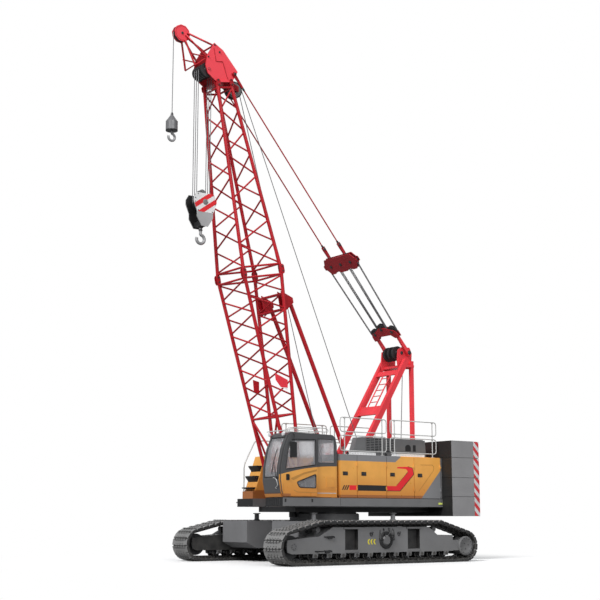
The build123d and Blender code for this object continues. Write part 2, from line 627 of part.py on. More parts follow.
# Boom: chords and lacing of its sections. Rows are s, half width, front and rear offsets.
STATIONS = [(0, 640, -115, 126), (JOINT_S, 758, -756, 723), (14000, 363, -273, 167)]
CHORD_R, LACING_R, FRAME_R = 57, 28, 34
FOOT_END = 2680  # top of the boom's foot, below its lacing


def section_at(s):
    low, top = (STATIONS[0], STATIONS[1]) if s <= JOINT_S else (STATIONS[1], STATIONS[2])
    t = (s - low[0]) / (top[0] - low[0])
    return [a + t * (b - a) for a, b in zip(low[1:], top[1:])]


def chord_point(s, side, rear):
    half, front, back = section_at(s)
    return on_boom(s, back if rear else front, side * half)


CHORDS = [(-1, 0), (1, 0), (1, 1), (-1, 1)]  # side and rear flag, in order round the section


def chords(s0, s1):
    bars([(chord_point(s0, *c), chord_point(s1, *c)) for c in CHORDS], CHORD_R)


def lacing(stations):
    """Zigzag on all four faces; every second node on a chord belongs to the next face."""
    pairs = []
    for face in range(4):
        a, b = CHORDS[face], CHORDS[(face + 1) % 4]
        for i, (s0, s1) in enumerate(zip(stations, stations[1:])):
            start, end = (a, b) if i % 2 else (b, a)
            pairs.append((chord_point(s0 + 30, *start), chord_point(s1 - 30, *end)))
    bars(pairs, LACING_R)


def ring_frame(s):
    bars([(chord_point(s, *CHORDS[i]), chord_point(s, *CHORDS[(i + 1) % 4])) for i in range(4)], FRAME_R)


def spaced(s0, s1, bays):
    return [s0 + (s1 - s0) * i / bays for i in range(bays + 1)]


def backstop_lugs():
    rear = section_at(LUG_S)[2]
    bars([(chord_point(s, -1, 1), chord_point(s, 1, 1)) for s in (LUG_S - 250, LUG_S + 250)], 45)
    for side in (-1, 1):
        for y in (STOP_Y - 110, STOP_Y + 80):
            side_plate([boom_xz(LUG_S - 350, rear), boom_xz(LUG_S + 350, rear),
                        boom_xz(LUG_S + 80, LUG_N + 80), boom_xz(LUG_S - 80, LUG_N + 80)],
                       side * y, side * (y + 30))
        for y in (STOP_Y - 120, STOP_Y + 110):
            disc(*boom_xz(LUG_S, LUG_N), side * y, side * (y + 10), 50)


with BuildPart() as boom_lower:
    chords(400, JOINT_S + 60)
    side_plate([boom_xz(JOINT_S + s, n) for s, n in ((0, -1000), (0, 1000), (200, 1000), (200, -1000))],
               -900, 900, Mode.SUBTRACT)
    ring_frame(FOOT_END)
    ring_frame(JOINT_S - 170)
    lacing(spaced(FOOT_END, JOINT_S - 170, 8))
    for side in (-1, 1):
        side_plate([boom_xz(0, -150), boom_xz(520, -210), boom_xz(520, 220), boom_xz(0, 150)],
                   side * 595, side * 685)
        disc(FOOT_X, FOOT_Z, side * 595, side * 685, 150)
        bars([(chord_point(450, side, 0), chord_point(FOOT_END - 30, -side, 0)),
              (chord_point(450, side, 1), chord_point(FOOT_END - 30, side, 0))], FRAME_R)
        disc(FOOT_X, FOOT_Z, side * 590, side * 690, 60 + RUN, Mode.SUBTRACT)
    backstop_lugs()
save(boom_lower, "boom_lower")

with BuildPart() as boom_upper:
    chords(JOINT_S - 60, BOOM_END + 60)
    for s0, s1 in ((JOINT_S - 200, JOINT_S), (BOOM_END, BOOM_END + 200)):
        side_plate([boom_xz(s, n) for s, n in ((s0, -1000), (s0, 1000), (s1, 1000), (s1, -1000))],
                   -900, 900, Mode.SUBTRACT)
    ring_frame(JOINT_S + 170)
    ring_frame(BOOM_END - 170)
    lacing(spaced(JOINT_S + 170, BOOM_END - 170, 8))
save(boom_upper, "boom_upper")

PLATE_SN = [(BOOM_END + 40, -330), (BOOM_END + 40, 300), (13910, 570), (14620, 140), (14870, -160),
            (14450, -520), (14120, -640), (13860, -600)]
with BuildPart() as boom_head:
    half, front, back = section_at(BOOM_END)
    side_plate([boom_xz(BOOM_END, front - 15), boom_xz(BOOM_END, back + 55),
                boom_xz(BOOM_END + 50, back + 55), boom_xz(BOOM_END + 50, front - 15)], -half - 55, half + 55)
    for side in (-1, 1):
        side_plate([boom_xz(s, n) for s, n in PLATE_SN], side * (HEAD_PLATE_Y - 40), side * HEAD_PLATE_Y)
        side_plate([boom_xz(13600, 200), boom_xz(13620, 420), boom_xz(13480, 660), boom_xz(13300, 620),
                    boom_xz(13400, 400), boom_xz(13560, 180)], side * 150, side * 180)
    disc(*boom_xz(*GUIDE), -200, 200, 35)
    disc(*boom_xz(*HEAD), -400, 400, 45)
    disc(*boom_xz(14560, -20), -380, 380, 40)
save(boom_head, "boom_head")

with BuildPart() as guide_sheaves:
    for y in (-75, 75):
        disc(*boom_xz(*GUIDE), y - 35, y + 35, GUIDE_R)
        disc(*boom_xz(*GUIDE), y - 40, y + 40, 35 + RUN, Mode.SUBTRACT)
save(guide_sheaves, "guide_sheaves")

with BuildPart() as head_sheaves:
    for y in (-240, -120, 0, 120, 240):
        disc(*boom_xz(*HEAD), y - 45, y + 45, FALL - ROPE - RUN)
        disc(*boom_xz(*HEAD), y - 50, y + 50, 45 + RUN, Mode.SUBTRACT)
save(head_sheaves, "head_sheaves")

# Auxiliary tip: a short frame ahead of the head, with one sheave at its end.
TIP = (15250, -1130)
TIP_TOP, TIP_LOW, TIP_MID = (14800, -160), (14130, -990), (14400, -480)  # places of its cross pins
TIP_BARS = [(TIP_TOP, (15250, -960)), (TIP_LOW, (15000, -1080)), (TIP_MID, (15180, -1020))]
TIP_TIES = [(TIP_MID, TIP_LOW), (TIP_MID, (14500, -1010))]
with BuildPart() as aux_tip:
    for side in (-1, 1):
        bars([(on_boom(*a, side * 300), on_boom(*b, side * 110)) for a, b in TIP_BARS], 32)
        bars([(on_boom(*a, side * 310), on_boom(*b, side * 310)) for a, b in TIP_TIES], 22)
        side_plate([boom_xz(TIP[0] + 285 * cos(a), TIP[1] + 285 * sin(a)) for a in spaced(0, 1.8 * pi, 9)],
                   side * 60, side * 90)
    disc(*boom_xz(*TIP), -95, 95, 35)
    for place in (TIP_TOP, TIP_MID):
        disc(*boom_xz(*place), -340, 340, 30)
save(aux_tip, "aux_tip")

with BuildPart() as aux_tip_sheave:
    disc(*boom_xz(*TIP), -35, 35, 255)
    disc(*boom_xz(*TIP), -50, 50, 35 + RUN, Mode.SUBTRACT)
save(aux_tip_sheave, "aux_tip_sheave")

# Main hook: falls, block with striped cheeks, and the hook on its swivel.
main_x, main_z = boom_xz(*HEAD)
with BuildPart() as main_falls:
    for x in (main_x - FALL, main_x + FALL):
        for y in (-120, 0, 120):
            rod((x, y, 11150), (x, y, main_z), ROPE)
save(main_falls, "main_falls")

CHEEK = [(-310, 330), (310, 330), (415, 160), (415, 20), (290, -280), (290, -450), (115, -730), (-115, -730),
         (-290, -450), (-290, -280), (-415, 20), (-415, 160)]
BLOCK_LOW = 10400  # under the block's swivel
with BuildPart() as hook_block:
    for side in (-1, 1):
        side_plate([(main_x + x, 11100 + z) for x, z in CHEEK], side * 230, side * 265)
    disc(main_x, 11150, -230, 230, 45)
    for y in (-120, 0, 120):
        disc(main_x, 11150, y - 45, y + 45, FALL - ROPE - RUN)
    for z in (10650, 11380):
        disc(main_x, z, -240, 240, 30)
    box(main_x - 105, main_x + 105, -240, 240, BLOCK_LOW, BLOCK_LOW + 160)
save(hook_block, "hook_block")


def hook(x, top, low, reach, bar, shank):
    """Hook in the X-Z plane: shank down from the swivel, then an open round bend."""
    radius, centre = reach - bar, low + reach
    rod((x, 0, top), (x, 0, centre + radius), shank)
    with Locations(Plane(origin=(x, 0, centre), x_dir=(0, 0, 1), z_dir=(0, -1, 0)).location):
        Torus(radius, bar, major_angle=285)


with BuildPart() as main_hook:
    hook(main_x, BLOCK_LOW, 9806, 190, 50, 48)
save(main_hook, "main_hook")

tip_x, tip_z = boom_xz(*TIP)
aux_x = tip_x + 268
WEIGHT_LOW = 13340  # flat underside of the weight above the small hook
with BuildPart() as aux_rope:
    rod((aux_x, 0, WEIGHT_LOW + 515), (aux_x, 0, tip_z), ROPE)
save(aux_rope, "aux_rope")

with BuildPart() as aux_weight:
    rod((aux_x, 0, WEIGHT_LOW), (aux_x, 0, WEIGHT_LOW + 300), 190)
    with Locations((aux_x, 0, WEIGHT_LOW + 300)):
        Cone(190, 40, 215, align=(Align.CENTER, Align.CENTER, Align.MIN))
save(aux_weight, "aux_weight")

with BuildPart() as aux_hook:
    hook(aux_x, WEIGHT_LOW, 12973, 155, 40, 34)
save(aux_hook, "aux_hook")

# Backstops: rods hinged behind the boom's foot, inside tubes that reach the boom's lugs.
stop_end = boom_xz(LUG_S, LUG_N)
stop_angle = atan2(stop_end[1] - STOP_Z, stop_end[0] - STOP_X)
STOP_LENGTH = hypot(stop_end[1] - STOP_Z, stop_end[0] - STOP_X)


def on_stop(d, y):
    return STOP_X + d * cos(stop_angle), y, STOP_Z + d * sin(stop_angle)


with BuildPart() as backstop_rods:
    for side in (-1, 1):
        y = side * STOP_Y
        disc(STOP_X, STOP_Z, y - 45, y + 45, 75)
        rod(on_stop(0, y), on_stop(3300, y), 46)
        disc(STOP_X, STOP_Z, y - 50, y + 50, 30 + RUN, Mode.SUBTRACT)
save(backstop_rods, "backstop_rods")

with BuildPart() as backstop_tubes:
    for side in (-1, 1):
        y = side * STOP_Y
        rod(on_stop(260, y), on_stop(STOP_LENGTH - 60, y), 68)
        disc(*stop_end, y - 45, y + 45, 80)
        disc(*stop_end, y - 80 + RUN, y + 80 - RUN, 35)
        rod(on_stop(250, y), on_stop(3500, y), 52, Mode.SUBTRACT)
save(backstop_tubes, "backstop_tubes")
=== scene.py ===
import math

import bmesh
import bpy
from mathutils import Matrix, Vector


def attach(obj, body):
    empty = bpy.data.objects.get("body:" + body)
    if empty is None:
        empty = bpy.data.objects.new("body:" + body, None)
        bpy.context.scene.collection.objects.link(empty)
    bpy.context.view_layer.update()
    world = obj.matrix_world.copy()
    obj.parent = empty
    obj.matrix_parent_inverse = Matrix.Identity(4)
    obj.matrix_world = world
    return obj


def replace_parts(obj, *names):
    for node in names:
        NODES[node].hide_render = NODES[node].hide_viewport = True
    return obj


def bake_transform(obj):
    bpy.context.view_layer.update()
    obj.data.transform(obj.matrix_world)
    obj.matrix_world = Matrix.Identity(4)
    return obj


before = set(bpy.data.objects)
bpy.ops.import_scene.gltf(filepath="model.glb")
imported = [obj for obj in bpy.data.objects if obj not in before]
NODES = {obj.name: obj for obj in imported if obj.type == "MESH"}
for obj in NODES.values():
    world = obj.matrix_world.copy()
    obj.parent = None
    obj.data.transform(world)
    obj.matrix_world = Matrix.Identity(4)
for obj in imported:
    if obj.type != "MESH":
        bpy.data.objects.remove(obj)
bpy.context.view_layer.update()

# Places that follow the frame, in metres: x and z, or s up the boom from its foot and n to the boom's rear
BOOM_ANGLE = math.radians(78.21)
FOOT, STAY_PIN, GANTRY_SHEAVE, STOP_PIN = (1.5, 1.935), (-3.28, 7.0), (-3.05, 6.99), (-0.45, 3.45)
JOINT_S, BOOM_END = 7.32, 13.55
HEAD_PIN, TIP = (13.81, 0.38), (15.25, -1.13)
GUIDE, GUIDE_R = (13.4, 0.53), 0.27
HEAD, FALL = (14.0, -0.525), 0.24  # main sheaves, and how far their ropes hang before and behind them
AUX_FALL = 0.268  # the auxiliary rope's distance before the tip's sheave
ROPE_R, ROPE_PARTS = 0.013, 24
LUFF_DRUM, MAIN_DRUM, AUX_DRUM = (-2.85, 2.38), (-1.6, 2.6), (0.15, 2.6)
LUFF_BARREL, BARREL = 0.23, 0.28
SPREADER_D, BRIDLE_D = 0.95, 3.85  # distances along the stay
BLOCK_Z, SWIVEL_Z, BALL_Z = 11.1, 10.4, 13.34  # hook block, its swivel, foot of the ball weight
SIDE_Y, ROOF = 1.7, 3.35  # outer side and roof of the housings
CAB_MIDDLE = (1.9, 1.23, 3.0)
TIP_FACE = 0.0905  # outer side of the tip's round plates
UP = (0, 0, 1)
# Rear and front edge of each service door, and its latch
DOORS = {"left_door_1": (0.0, 0.665, 0.47), "left_door_2": (-1.22, -0.02, -0.28),
         "left_door_3": (-2.41, -1.24, -1.48), "left_door_4": (-3.585, -2.43, -2.67),
         "right_door_1": (-0.02, 1.19, 0.94), "right_door_2": (-1.79, -0.04, -0.31),
         "right_door_3": (-3.585, -1.81, -2.11)}


def boom_at(s, n, y=0.0):
    """Point s along the boom and n behind its centre line."""
    c, d = math.cos(BOOM_ANGLE), math.sin(BOOM_ANGLE)
    return Vector((FOOT[0] + s * c - n * d, y, FOOT[1] + s * d + n * c))


HEAD_POINT = boom_at(*HEAD_PIN)
STAY_DIR = (HEAD_POINT - Vector((STAY_PIN[0], 0, STAY_PIN[1]))).normalized()
STAY_UP = Vector((-STAY_DIR.z, 0, STAY_DIR.x))


def stay_at(d, y=0.0, m=0.0):
    """Point d along the stay from the gantry's pin, m above its line."""
    return Vector((STAY_PIN[0], y, STAY_PIN[1])) + STAY_DIR * d + STAY_UP * m


# Camera, floor and light

WHITE = (1, 1, 1, 1)
# The camera fitted to the photo: its place, turn and tilt, the photo's width and the focal length in pixels
CAMERA, YAW, PITCH = (23.899, 31.085, 1.407), math.radians(36.398), math.radians(10.373)
PHOTO_WIDTH, FOCAL = 600, 1184.69
# Direction to each light, its strength and its angle in degrees
SUNS = (((1.0, 0.35, 0.95), 2.7, 18), ((0.15, 1.0, 0.5), 1.2, 40), ((-0.8, -0.7, 0.6), 0.6, 40))
FLOOR_HALF, FADE = 60, (4.0, 11.0)  # half the floor, and where its shadow starts and ends to fade


def add_object(name, data):
    made = bpy.data.objects.new(name, data)
    bpy.context.scene.collection.objects.link(made)
    return made


def aim(made, direction, axis):
    made.rotation_mode = "QUATERNION"
    made.rotation_quaternion = Vector(direction).to_track_quat(axis, "Y")


def camera_and_light():
    scene = bpy.context.scene
    scene.view_settings.view_transform = "Standard"
    data = bpy.data.cameras.new("camera")
    data.sensor_width, data.lens = 36, 36 * FOCAL / PHOTO_WIDTH
    data.clip_start, data.clip_end = 0.1, 600
    scene.camera = add_object("camera", data)
    scene.camera.location = CAMERA
    level = math.cos(PITCH)
    aim(scene.camera, (-math.sin(YAW) * level, -math.cos(YAW) * level, math.sin(PITCH)), "-Z")
    for i, (direction, strength, angle) in enumerate(SUNS):
        light = bpy.data.lights.new(f"sun_{i}", "SUN")
        light.energy, light.angle = strength, math.radians(angle)
        aim(add_object(f"sun_{i}", light), direction, "Z")
    world = bpy.data.worlds.new("studio")
    scene.world = world
    world.use_nodes = True
    tree = world.node_tree
    tree.nodes.clear()
    seen = node(tree, "ShaderNodeBackground", WHITE, 1.0)
    light = node(tree, "ShaderNodeBackground", (0.93, 0.96, 1, 1), 0.34)
    node(tree, "ShaderNodeOutputWorld", node(tree, "ShaderNodeMixShader", rays(tree), light, seen))


def studio_floor():
    mesh = bmesh.new()
    bmesh.ops.create_grid(mesh, x_segments=24, y_segments=24, size=FLOOR_HALF)
    mesh_object("floor", mesh, floor_paint())


# Shader nodes. A field is a value in a shader, so that masks read as arithmetic and comparisons give 1 or 0

class Field:
    def __init__(self, tree, socket):
        self.tree, self.socket = tree, socket

    def maths(self, operation, *values):
        return Field(self.tree, node(self.tree, "ShaderNodeMath", *values, operation=operation).outputs[0])

    def __add__(self, other):
        return self.maths("ADD", self, other)

    def __sub__(self, other):
        return self.maths("SUBTRACT", self, other)

    def __rsub__(self, other):
        return self.maths("SUBTRACT", other, self)

    def __mul__(self, other):
        return self.maths("MULTIPLY", self, other)

    def __pow__(self, other):
        return self.maths("POWER", self, other)

    def __lt__(self, other):
        return self.maths("LESS_THAN", self, other)

    def __gt__(self, other):
        return self.maths("GREATER_THAN", self, other)

    def __or__(self, other):
        return self.maths("MAXIMUM", self, other)

    def __abs__(self):
        return self.maths("ABSOLUTE", self)


def feed(tree, socket, value):
    """Links an input to a node, socket or field, or sets it to a constant."""
    if isinstance(value, bpy.types.Node):
        value = value.outputs[0]
    value = value.socket if isinstance(value, Field) else value
    if isinstance(value, bpy.types.NodeSocket):
        tree.links.new(value, socket)
    else:
        socket.default_value = value


def node(tree, kind, *values, **settings):
    """A shader node with values for its first inputs, and its settings or values for inputs by name."""
    made = tree.nodes.new(kind)
    for key, value in settings.items():
        if key in made.inputs.keys():
            feed(tree, made.inputs[key], value)
        else:
            setattr(made, key, value)
    for socket, value in zip(made.inputs, values):
        feed(tree, socket, value)
    return made


def new_material(name):
    made = bpy.data.materials.new(name)
    made.use_nodes = True
    return made, made.node_tree, made.node_tree.nodes["Principled BSDF"]


def dress(tree, shader, values):
    for key, value in values.items():
        feed(tree, shader.inputs[key], value)


def mix_colour(tree, factor, a, b):
    made = node(tree, "ShaderNodeMix", data_type="RGBA")
    for key, value in ((0, factor), (6, a), (7, b)):
        feed(tree, made.inputs[key], (*value, 1) if isinstance(value, tuple) else value)
    return made.outputs[2]


def shade(colour, share):
    return tuple(share * c for c in colour)


def ramp(tree, value, low, high, start=0.0, end=1.0):
    """The value's share of the way from low to high, given as start to end."""
    made = node(tree, "ShaderNodeMapRange", value, low, high, start, end, clamp=True)
    return Field(tree, made.outputs["Result"])


def coordinates(tree, kind="Object"):
    """Coordinates in a piece's own axes, so that a mask rides with its body."""
    return tree.nodes.new("ShaderNodeTexCoord").outputs[kind]


def axes(tree, kind="Object"):
    """X, Y and Z of a piece's coordinates or normals."""
    return [Field(tree, out) for out in node(tree, "ShaderNodeSeparateXYZ", coordinates(tree, kind)).outputs]


def noise(tree, scale, detail=3.0, rough=0.55):
    return node(tree, "ShaderNodeTexNoise", Vector=coordinates(tree), Scale=scale, Detail=detail,
                Roughness=rough).outputs["Fac"]


def rays(tree):
    """1 for rays that show the background: camera and transmission."""
    path = tree.nodes.new("ShaderNodeLightPath").outputs
    return Field(tree, path["Is Camera Ray"]) | path["Is Transmission Ray"]


def facing_x(least):
    """A mask that is 1 where a face looks forwards."""
    return lambda tree: axes(tree, "Normal")[0] > least


def outward(tree):
    """1 where a face looks sideways."""
    return abs(axes(tree, "Normal")[1]) > 0.7


def below(limit, fore=None):
    """A mask that is 1 under a height, where fore is given only in front of that x."""
    def mask(tree):
        x, _, z = axes(tree)
        return z < limit if fore is None else (z < limit) * (x > fore)
    return mask


def inner_side_shade(tree):
    """1 on the sides of the track frames that look at each other, painted dark as the shade between the
    tracks.
    """
    return axes(tree, "Normal")[1] * axes(tree)[1] < -1.3


def pocket_shade(tree):
    """1 inside the two recesses in each side of a track frame, painted dark as the shade in them."""
    x, y, z = (abs(abs(axis) - at) < reach
               for axis, at, reach in zip(axes(tree), (1.24, TRACK_Y, 0.745), (0.255, 0.345, 0.31)))
    return x * y * z


def lit_head_plates(tree):
    """1 on the outer sides of the boom head's plates and of the tip's round plates, which get a lighter red
    as painted light.
    """
    x, y, z = axes(tree)
    s = (x - FOOT[0]) * math.cos(BOOM_ANGLE) + (z - FOOT[1]) * math.sin(BOOM_ANGLE)
    return ((abs(y) > 0.37) | (s > 14.97)) * outward(tree)


def between_cheeks(tree):
    """1 on the sheaves and spacers between the cheeks of the hook block, painted dark: partly the sheaves'
    own black, partly painted shade between the cheeks.
    """
    return abs(axes(tree)[1]) < 0.232


def foot_shade(tree):
    """Painted shade: 0 half way up the yellow panels, rising to 1 at their foot, where the yellow darkens as
    if in shade.
    """
    return ramp(tree, axes(tree)[2], 2.7, 2.05)


def stay_place(tree):
    """Distances along the stay from the gantry's pin and above its line."""
    x, _, z = axes(tree)
    return [(x - STAY_PIN[0]) * axis.x + (z - STAY_PIN[1]) * axis.z for axis in (STAY_DIR, STAY_UP)]


def lit_stay_links(tree):
    """1 on the links that hold the spreader to the gantry, which get a lighter red as painted light."""
    return stay_place(tree)[0] < 0.66


def stay_sheaves(tree):
    """1 on the sheaves of the spreader and the bridle, between their red plates."""
    along, above = stay_place(tree)
    return (abs(above) < 0.043) * (along > 0.885) * (along < 4.08)


def house_band(tree):
    """1 in the grey band under the roof and in the grey corner at the rear."""
    x, _, z = axes(tree)
    top = z > ((-1.61 - x) | 0.0) * 0.735 + 3.15
    return top | ((-2.714 - x) * 1.074 + 1.987 > z)


def cab_band(tree):
    """1 on the cab's dark frame above its curved colour line, on its front and inside it."""
    x, _, z = axes(tree)
    top = z + ((x - 0.763) | 0.0) ** 2.0 * 0.058 > 2.958
    middle = node(tree, "ShaderNodeVectorMath", CAB_MIDDLE, coordinates(tree), operation="SUBTRACT")
    inward = node(tree, "ShaderNodeVectorMath", middle, coordinates(tree, "Normal"), operation="DOT_PRODUCT")
    inside = Field(tree, inward.outputs["Value"]) > 0.0
    return top | inside | (facing_x(0.7)(tree) * (x > 2.8))


def edges(tree, radius):
    """1 near a piece's edges, from how far a rounded normal leaves the flat one."""
    bevel = node(tree, "ShaderNodeBevel", samples=4, Radius=radius)
    flat = tree.nodes.new("ShaderNodeNewGeometry").outputs["Normal"]
    dot = node(tree, "ShaderNodeVectorMath", bevel, flat, operation="DOT_PRODUCT")
    return ramp(tree, dot.outputs["Value"], 0.97, 0.8)


# Materials

def painted(name, colour, rough=0.42, coat=0.0, worn=0.25, dust=0.0, grain=90, metal=0.0, shine=0.5,
            layers=()):
    """Paint with slow colour changes, a light orange peel, rubbed edges and dust low down.

    Each layer is a mask and the colour that shows where it is 1.
    """
    made, tree, shader = new_material(name)
    light = tuple(min(1, c * 1.08 + 0.004) for c in colour)
    tone = mix_colour(tree, ramp(tree, noise(tree, 0.9, 5), 0.32, 0.68), shade(colour, 0.86), light)
    for covers, paint in layers:
        tone = mix_colour(tree, covers(tree), tone, paint)
    if worn:
        patchy = ramp(tree, noise(tree, 14, 4), 0.45, 0.7, 0, worn)
        tone = mix_colour(tree, edges(tree, 0.006) * patchy, tone, tuple(0.55 * c + 0.2 for c in colour))
    if dust:
        cloud = ramp(tree, noise(tree, 3.5, 6, 0.65), 0.35, 0.7)
        low = ramp(tree, axes(tree)[2], 1.3, 0.0, 0.0, dust)
        tone = mix_colour(tree, low * cloud, tone, (0.2, 0.19, 0.175))
    dress(tree, shader, {
        "Base Color": tone, "Metallic": metal, "Coat Weight": coat, "Coat Roughness": 0.12,
        "Roughness": ramp(tree, noise(tree, 6, 4), 0.3, 0.7, rough - 0.07, rough + 0.09),
        "Normal": node(tree, "ShaderNodeBump", Strength=0.06, Distance=0.004, Height=noise(tree, grain, 2)),
        "Specular IOR Level": shine})
    return made


def rope_wire(name, colour):
    """Laid wire rope: strands as a slanted band of light and dark."""
    made, tree, shader = new_material(name)
    wave = node(tree, "ShaderNodeTexWave", Vector=coordinates(tree), Scale=14.0, Distortion=0.6, Detail=1.0,
                bands_direction="DIAGONAL").outputs["Fac"]
    dress(tree, shader, {
        "Base Color": mix_colour(tree, wave, shade(colour, 0.55), colour), "Metallic": 0.3,
        "Normal": node(tree, "ShaderNodeBump", Strength=0.5, Distance=0.004, Height=wave),
        "Roughness": ramp(tree, noise(tree, 30), 0.3, 0.7, 0.38, 0.55)})
    return made


def tinted_glass(name, colour):
    """Tinted glass with a little dust that changes its gloss."""
    made, tree, shader = new_material(name)
    dusty = ramp(tree, noise(tree, 2, 5), 0.3, 0.7)
    dress(tree, shader, {
        "Base Color": mix_colour(tree, dusty, shade(colour, 0.8), colour),
        "Roughness": ramp(tree, noise(tree, 9, 4), 0.35, 0.75, 0.02, 0.09),
        "Transmission Weight": 0.6, "IOR": 1.12, "Alpha": 0.48})
    return made


def floor_paint():
    """Pale studio floor that keeps the shadow near the crane and fades into the white background."""
    made, tree, shader = new_material("studio_floor")
    tree.nodes.remove(shader)
    pale = mix_colour(tree, rays(tree), (0.3, 0.3, 0.3), (0.93, 0.93, 0.93))
    lit = node(tree, "ShaderNodeBsdfDiffuse", pale)
    seen = node(tree, "ShaderNodeEmission", WHITE, 1.0)
    place = tree.nodes.new("ShaderNodeNewGeometry").outputs["Position"]
    far = node(tree, "ShaderNodeVectorMath", place, operation="LENGTH").outputs["Value"]
    share = ramp(tree, far, *FADE)
    share.socket.node.interpolation_type = "SMOOTHSTEP"
    mix = node(tree, "ShaderNodeMixShader", share * rays(tree), lit, seen)
    feed(tree, tree.nodes["Material Output"].inputs["Surface"], mix)
    return made


MATERIALS = {}
# The second and third reds are lighter copies of the boom's red, as painted light on lit faces.
RED, LIT_RED, LIT_PLATE_RED = (0.46, 0.008, 0.016), (0.82, 0.05, 0.065), (0.95, 0.075, 0.1)
# The second yellow is painted shade for the foot of the yellow panels.
YELLOW, YELLOW_SHADED, BROWN = (0.82, 0.385, 0.075), (0.62, 0.235, 0.038), (0.36, 0.125, 0.033)
DECK, DARK = (0.165, 0.165, 0.168), (0.014, 0.014, 0.015)
BAND, FRAME = (0.22, 0.22, 0.227), (0.07, 0.07, 0.073)  # grey band of the housings, dark frame of the cab
OFF_WHITE = (0.85, 0.85, 0.85)


def make_materials():
    red = {"rough": 0.4, "coat": 0.05, "worn": 0.15, "shine": 0.3}
    gloss, dusty = {"rough": 0.34, "coat": 0.3}, {"rough": 0.5, "worn": 0.3, "dust": 0.3}
    # Painted shade: the yellow panels darken towards their foot.
    low = (foot_shade, YELLOW_SHADED)
    MATERIALS.update(
        red=painted("boom_red", RED, **red),
        # Painted light: the outer sides of the head's plates are a lighter red.
        head_red=painted("head_red", RED, **red, layers=((lit_head_plates, LIT_PLATE_RED),)),
        # Painted light: the gantry takes a lighter copy of the boom's red, as its faces are lit.
        gantry_red=painted("gantry_red", LIT_RED, **red),
        # Painted shade and light: the stay's red is darker than the boom's as painted shade, and its links
        # lighter as painted light; its sheaves are their own black.
        stay_red=painted("stay_red", (0.41, 0.01, 0.02), **red,
                         layers=((lit_stay_links, LIT_RED), (stay_sheaves, DARK))),
        yellow=painted("body_yellow", YELLOW, **gloss, layers=(low,)),
        # Painted reflection: the brown strip below 2.085 stands in for the dark reflection in the bevel at
        # the housings' foot.
        house=painted("house_yellow", YELLOW, **gloss,
                      layers=(low, (below(2.085), BROWN), (house_band, BAND))),
        cab=painted("cab_yellow", YELLOW, **gloss, worn=0.2,
                    layers=(low, (cab_band, FRAME), (below(2.1, 2.6), BROWN))),
        nose=painted("nose_orange", YELLOW, 0.4, coat=0.2, worn=0.3,
                     layers=(low, (below(2.25, 1.25), BROWN))),
        # Painted shade: a darker yellow for thin strips along the body's folds.
        crease=painted("crease_orange", shade(YELLOW, 0.62), 0.5, worn=0.2),
        steps=painted("step_paint", DECK, 0.48, worn=0.3,
                      layers=((lambda tree: axes(tree)[1] > -1.5, DARK),)),
        # Painted shade: the deck's grey turns near black below 1.7 and on faces looking forwards, the shade
        # under the nose.
        deck=painted("deck_grey", DECK, 0.48, worn=0.2,
                     layers=((below(1.7), DARK), (facing_x(0.7), DARK))),
        hood=painted("hood_grey", (0.15, 0.15, 0.153), coat=0.1, worn=0.2),
        weight=painted("weight_grey", (0.175, 0.175, 0.18), 0.55, worn=0.2),
        # Painted shade: faces of the counterweight that look forwards are near black, as in the housing's
        # shadow.
        slabs=painted("slab_grey_front_shade", (0.25, 0.246, 0.25), 0.55, worn=0.2,
                      layers=((facing_x(0.25), (0.013, 0.013, 0.013)),)),
        # Painted shade: the recesses in the frames' sides are dark.
        works=painted("works_grey", (0.13, 0.13, 0.133), **dusty, layers=((pocket_shade, DARK),)),
        # Painted shade: the frames' inner sides are near black.
        frames=painted("frame_grey", (0.16, 0.16, 0.163), **dusty,
                       layers=((inner_side_shade, (0.022, 0.022, 0.022)), (pocket_shade, DARK))),
        track=painted("track_steel", (0.27, 0.268, 0.265), 0.5, worn=0.9, dust=0.3, grain=40, metal=0.25,
                      layers=((outward, (0.03, 0.03, 0.031)),)),
        chain=painted("chain_steel", (0.045, 0.043, 0.042), 0.5, worn=0.7, dust=0.5, metal=0.4),
        steel=painted("hook_steel", (0.36, 0.36, 0.365), worn=0.4, metal=0.2),
        ball=painted("ball_grey", (0.19, 0.19, 0.195), 0.4, worn=0.3, metal=0.3,
                     layers=((below(BALL_Z + 0.02), DARK),)),
        # The dark between the hook block's cheeks is partly the sheaves' own black, partly painted shade.
        block=painted("block_grey", (0.42, 0.42, 0.425), 0.45, worn=0.4, layers=((between_cheeks, DARK),)),
        sheave=painted("sheave_black", (0.055, 0.055, 0.057), 0.38, worn=0.8, metal=0.5),
        bright=painted("bright_steel", (0.55, 0.55, 0.56), 0.25, worn=0.2, metal=0.9),
        iron=painted("engine_iron", (0.2, 0.2, 0.2), 0.5, worn=0.3),
        bolt=painted("bolt_steel", (0.06, 0.06, 0.062), 0.45, worn=0.6, metal=0.5),
        black=painted("black_paint", (0.012, 0.012, 0.013), 0.45, worn=0.3),
        rail=painted("rail_grey", (0.5, 0.5, 0.49), worn=0.3),
        white=painted("stripe_white", OFF_WHITE, 0.45, worn=0.3),
        stripe=painted("stripe_red", (0.8, 0.014, 0.022), 0.4, coat=0.2, worn=0.2),
        sign_board=painted("sign_red", (0.8, 0.03, 0.05), 0.45, worn=0.1,
                           layers=((below(5.43), OFF_WHITE),)),
        sign=painted("sign_yellow", (0.72, 0.62, 0.02), 0.45, worn=0.2),
        cloth=painted("seat_cloth", (0.035, 0.036, 0.04), 0.85, worn=0, grain=900, shine=0.2),
        plastic=painted("cab_plastic", (0.03, 0.03, 0.032), 0.6, worn=0.1, grain=300),
        interior=painted("cab_grey", (0.09, 0.09, 0.095), 0.62, worn=0.1, grain=300),
        lamp=painted("lamp_glass", (0.8, 0.9, 0.2), 0.2, coat=0.6, worn=0),
        clear=painted("lamp_clear", (0.75, 0.76, 0.78), 0.12, coat=0.8, worn=0),
        glass=tinted_glass("tinted_glass", (0.74, 0.74, 0.77)),
        rope=rope_wire("wire_rope", (0.24, 0.24, 0.25)),
    )


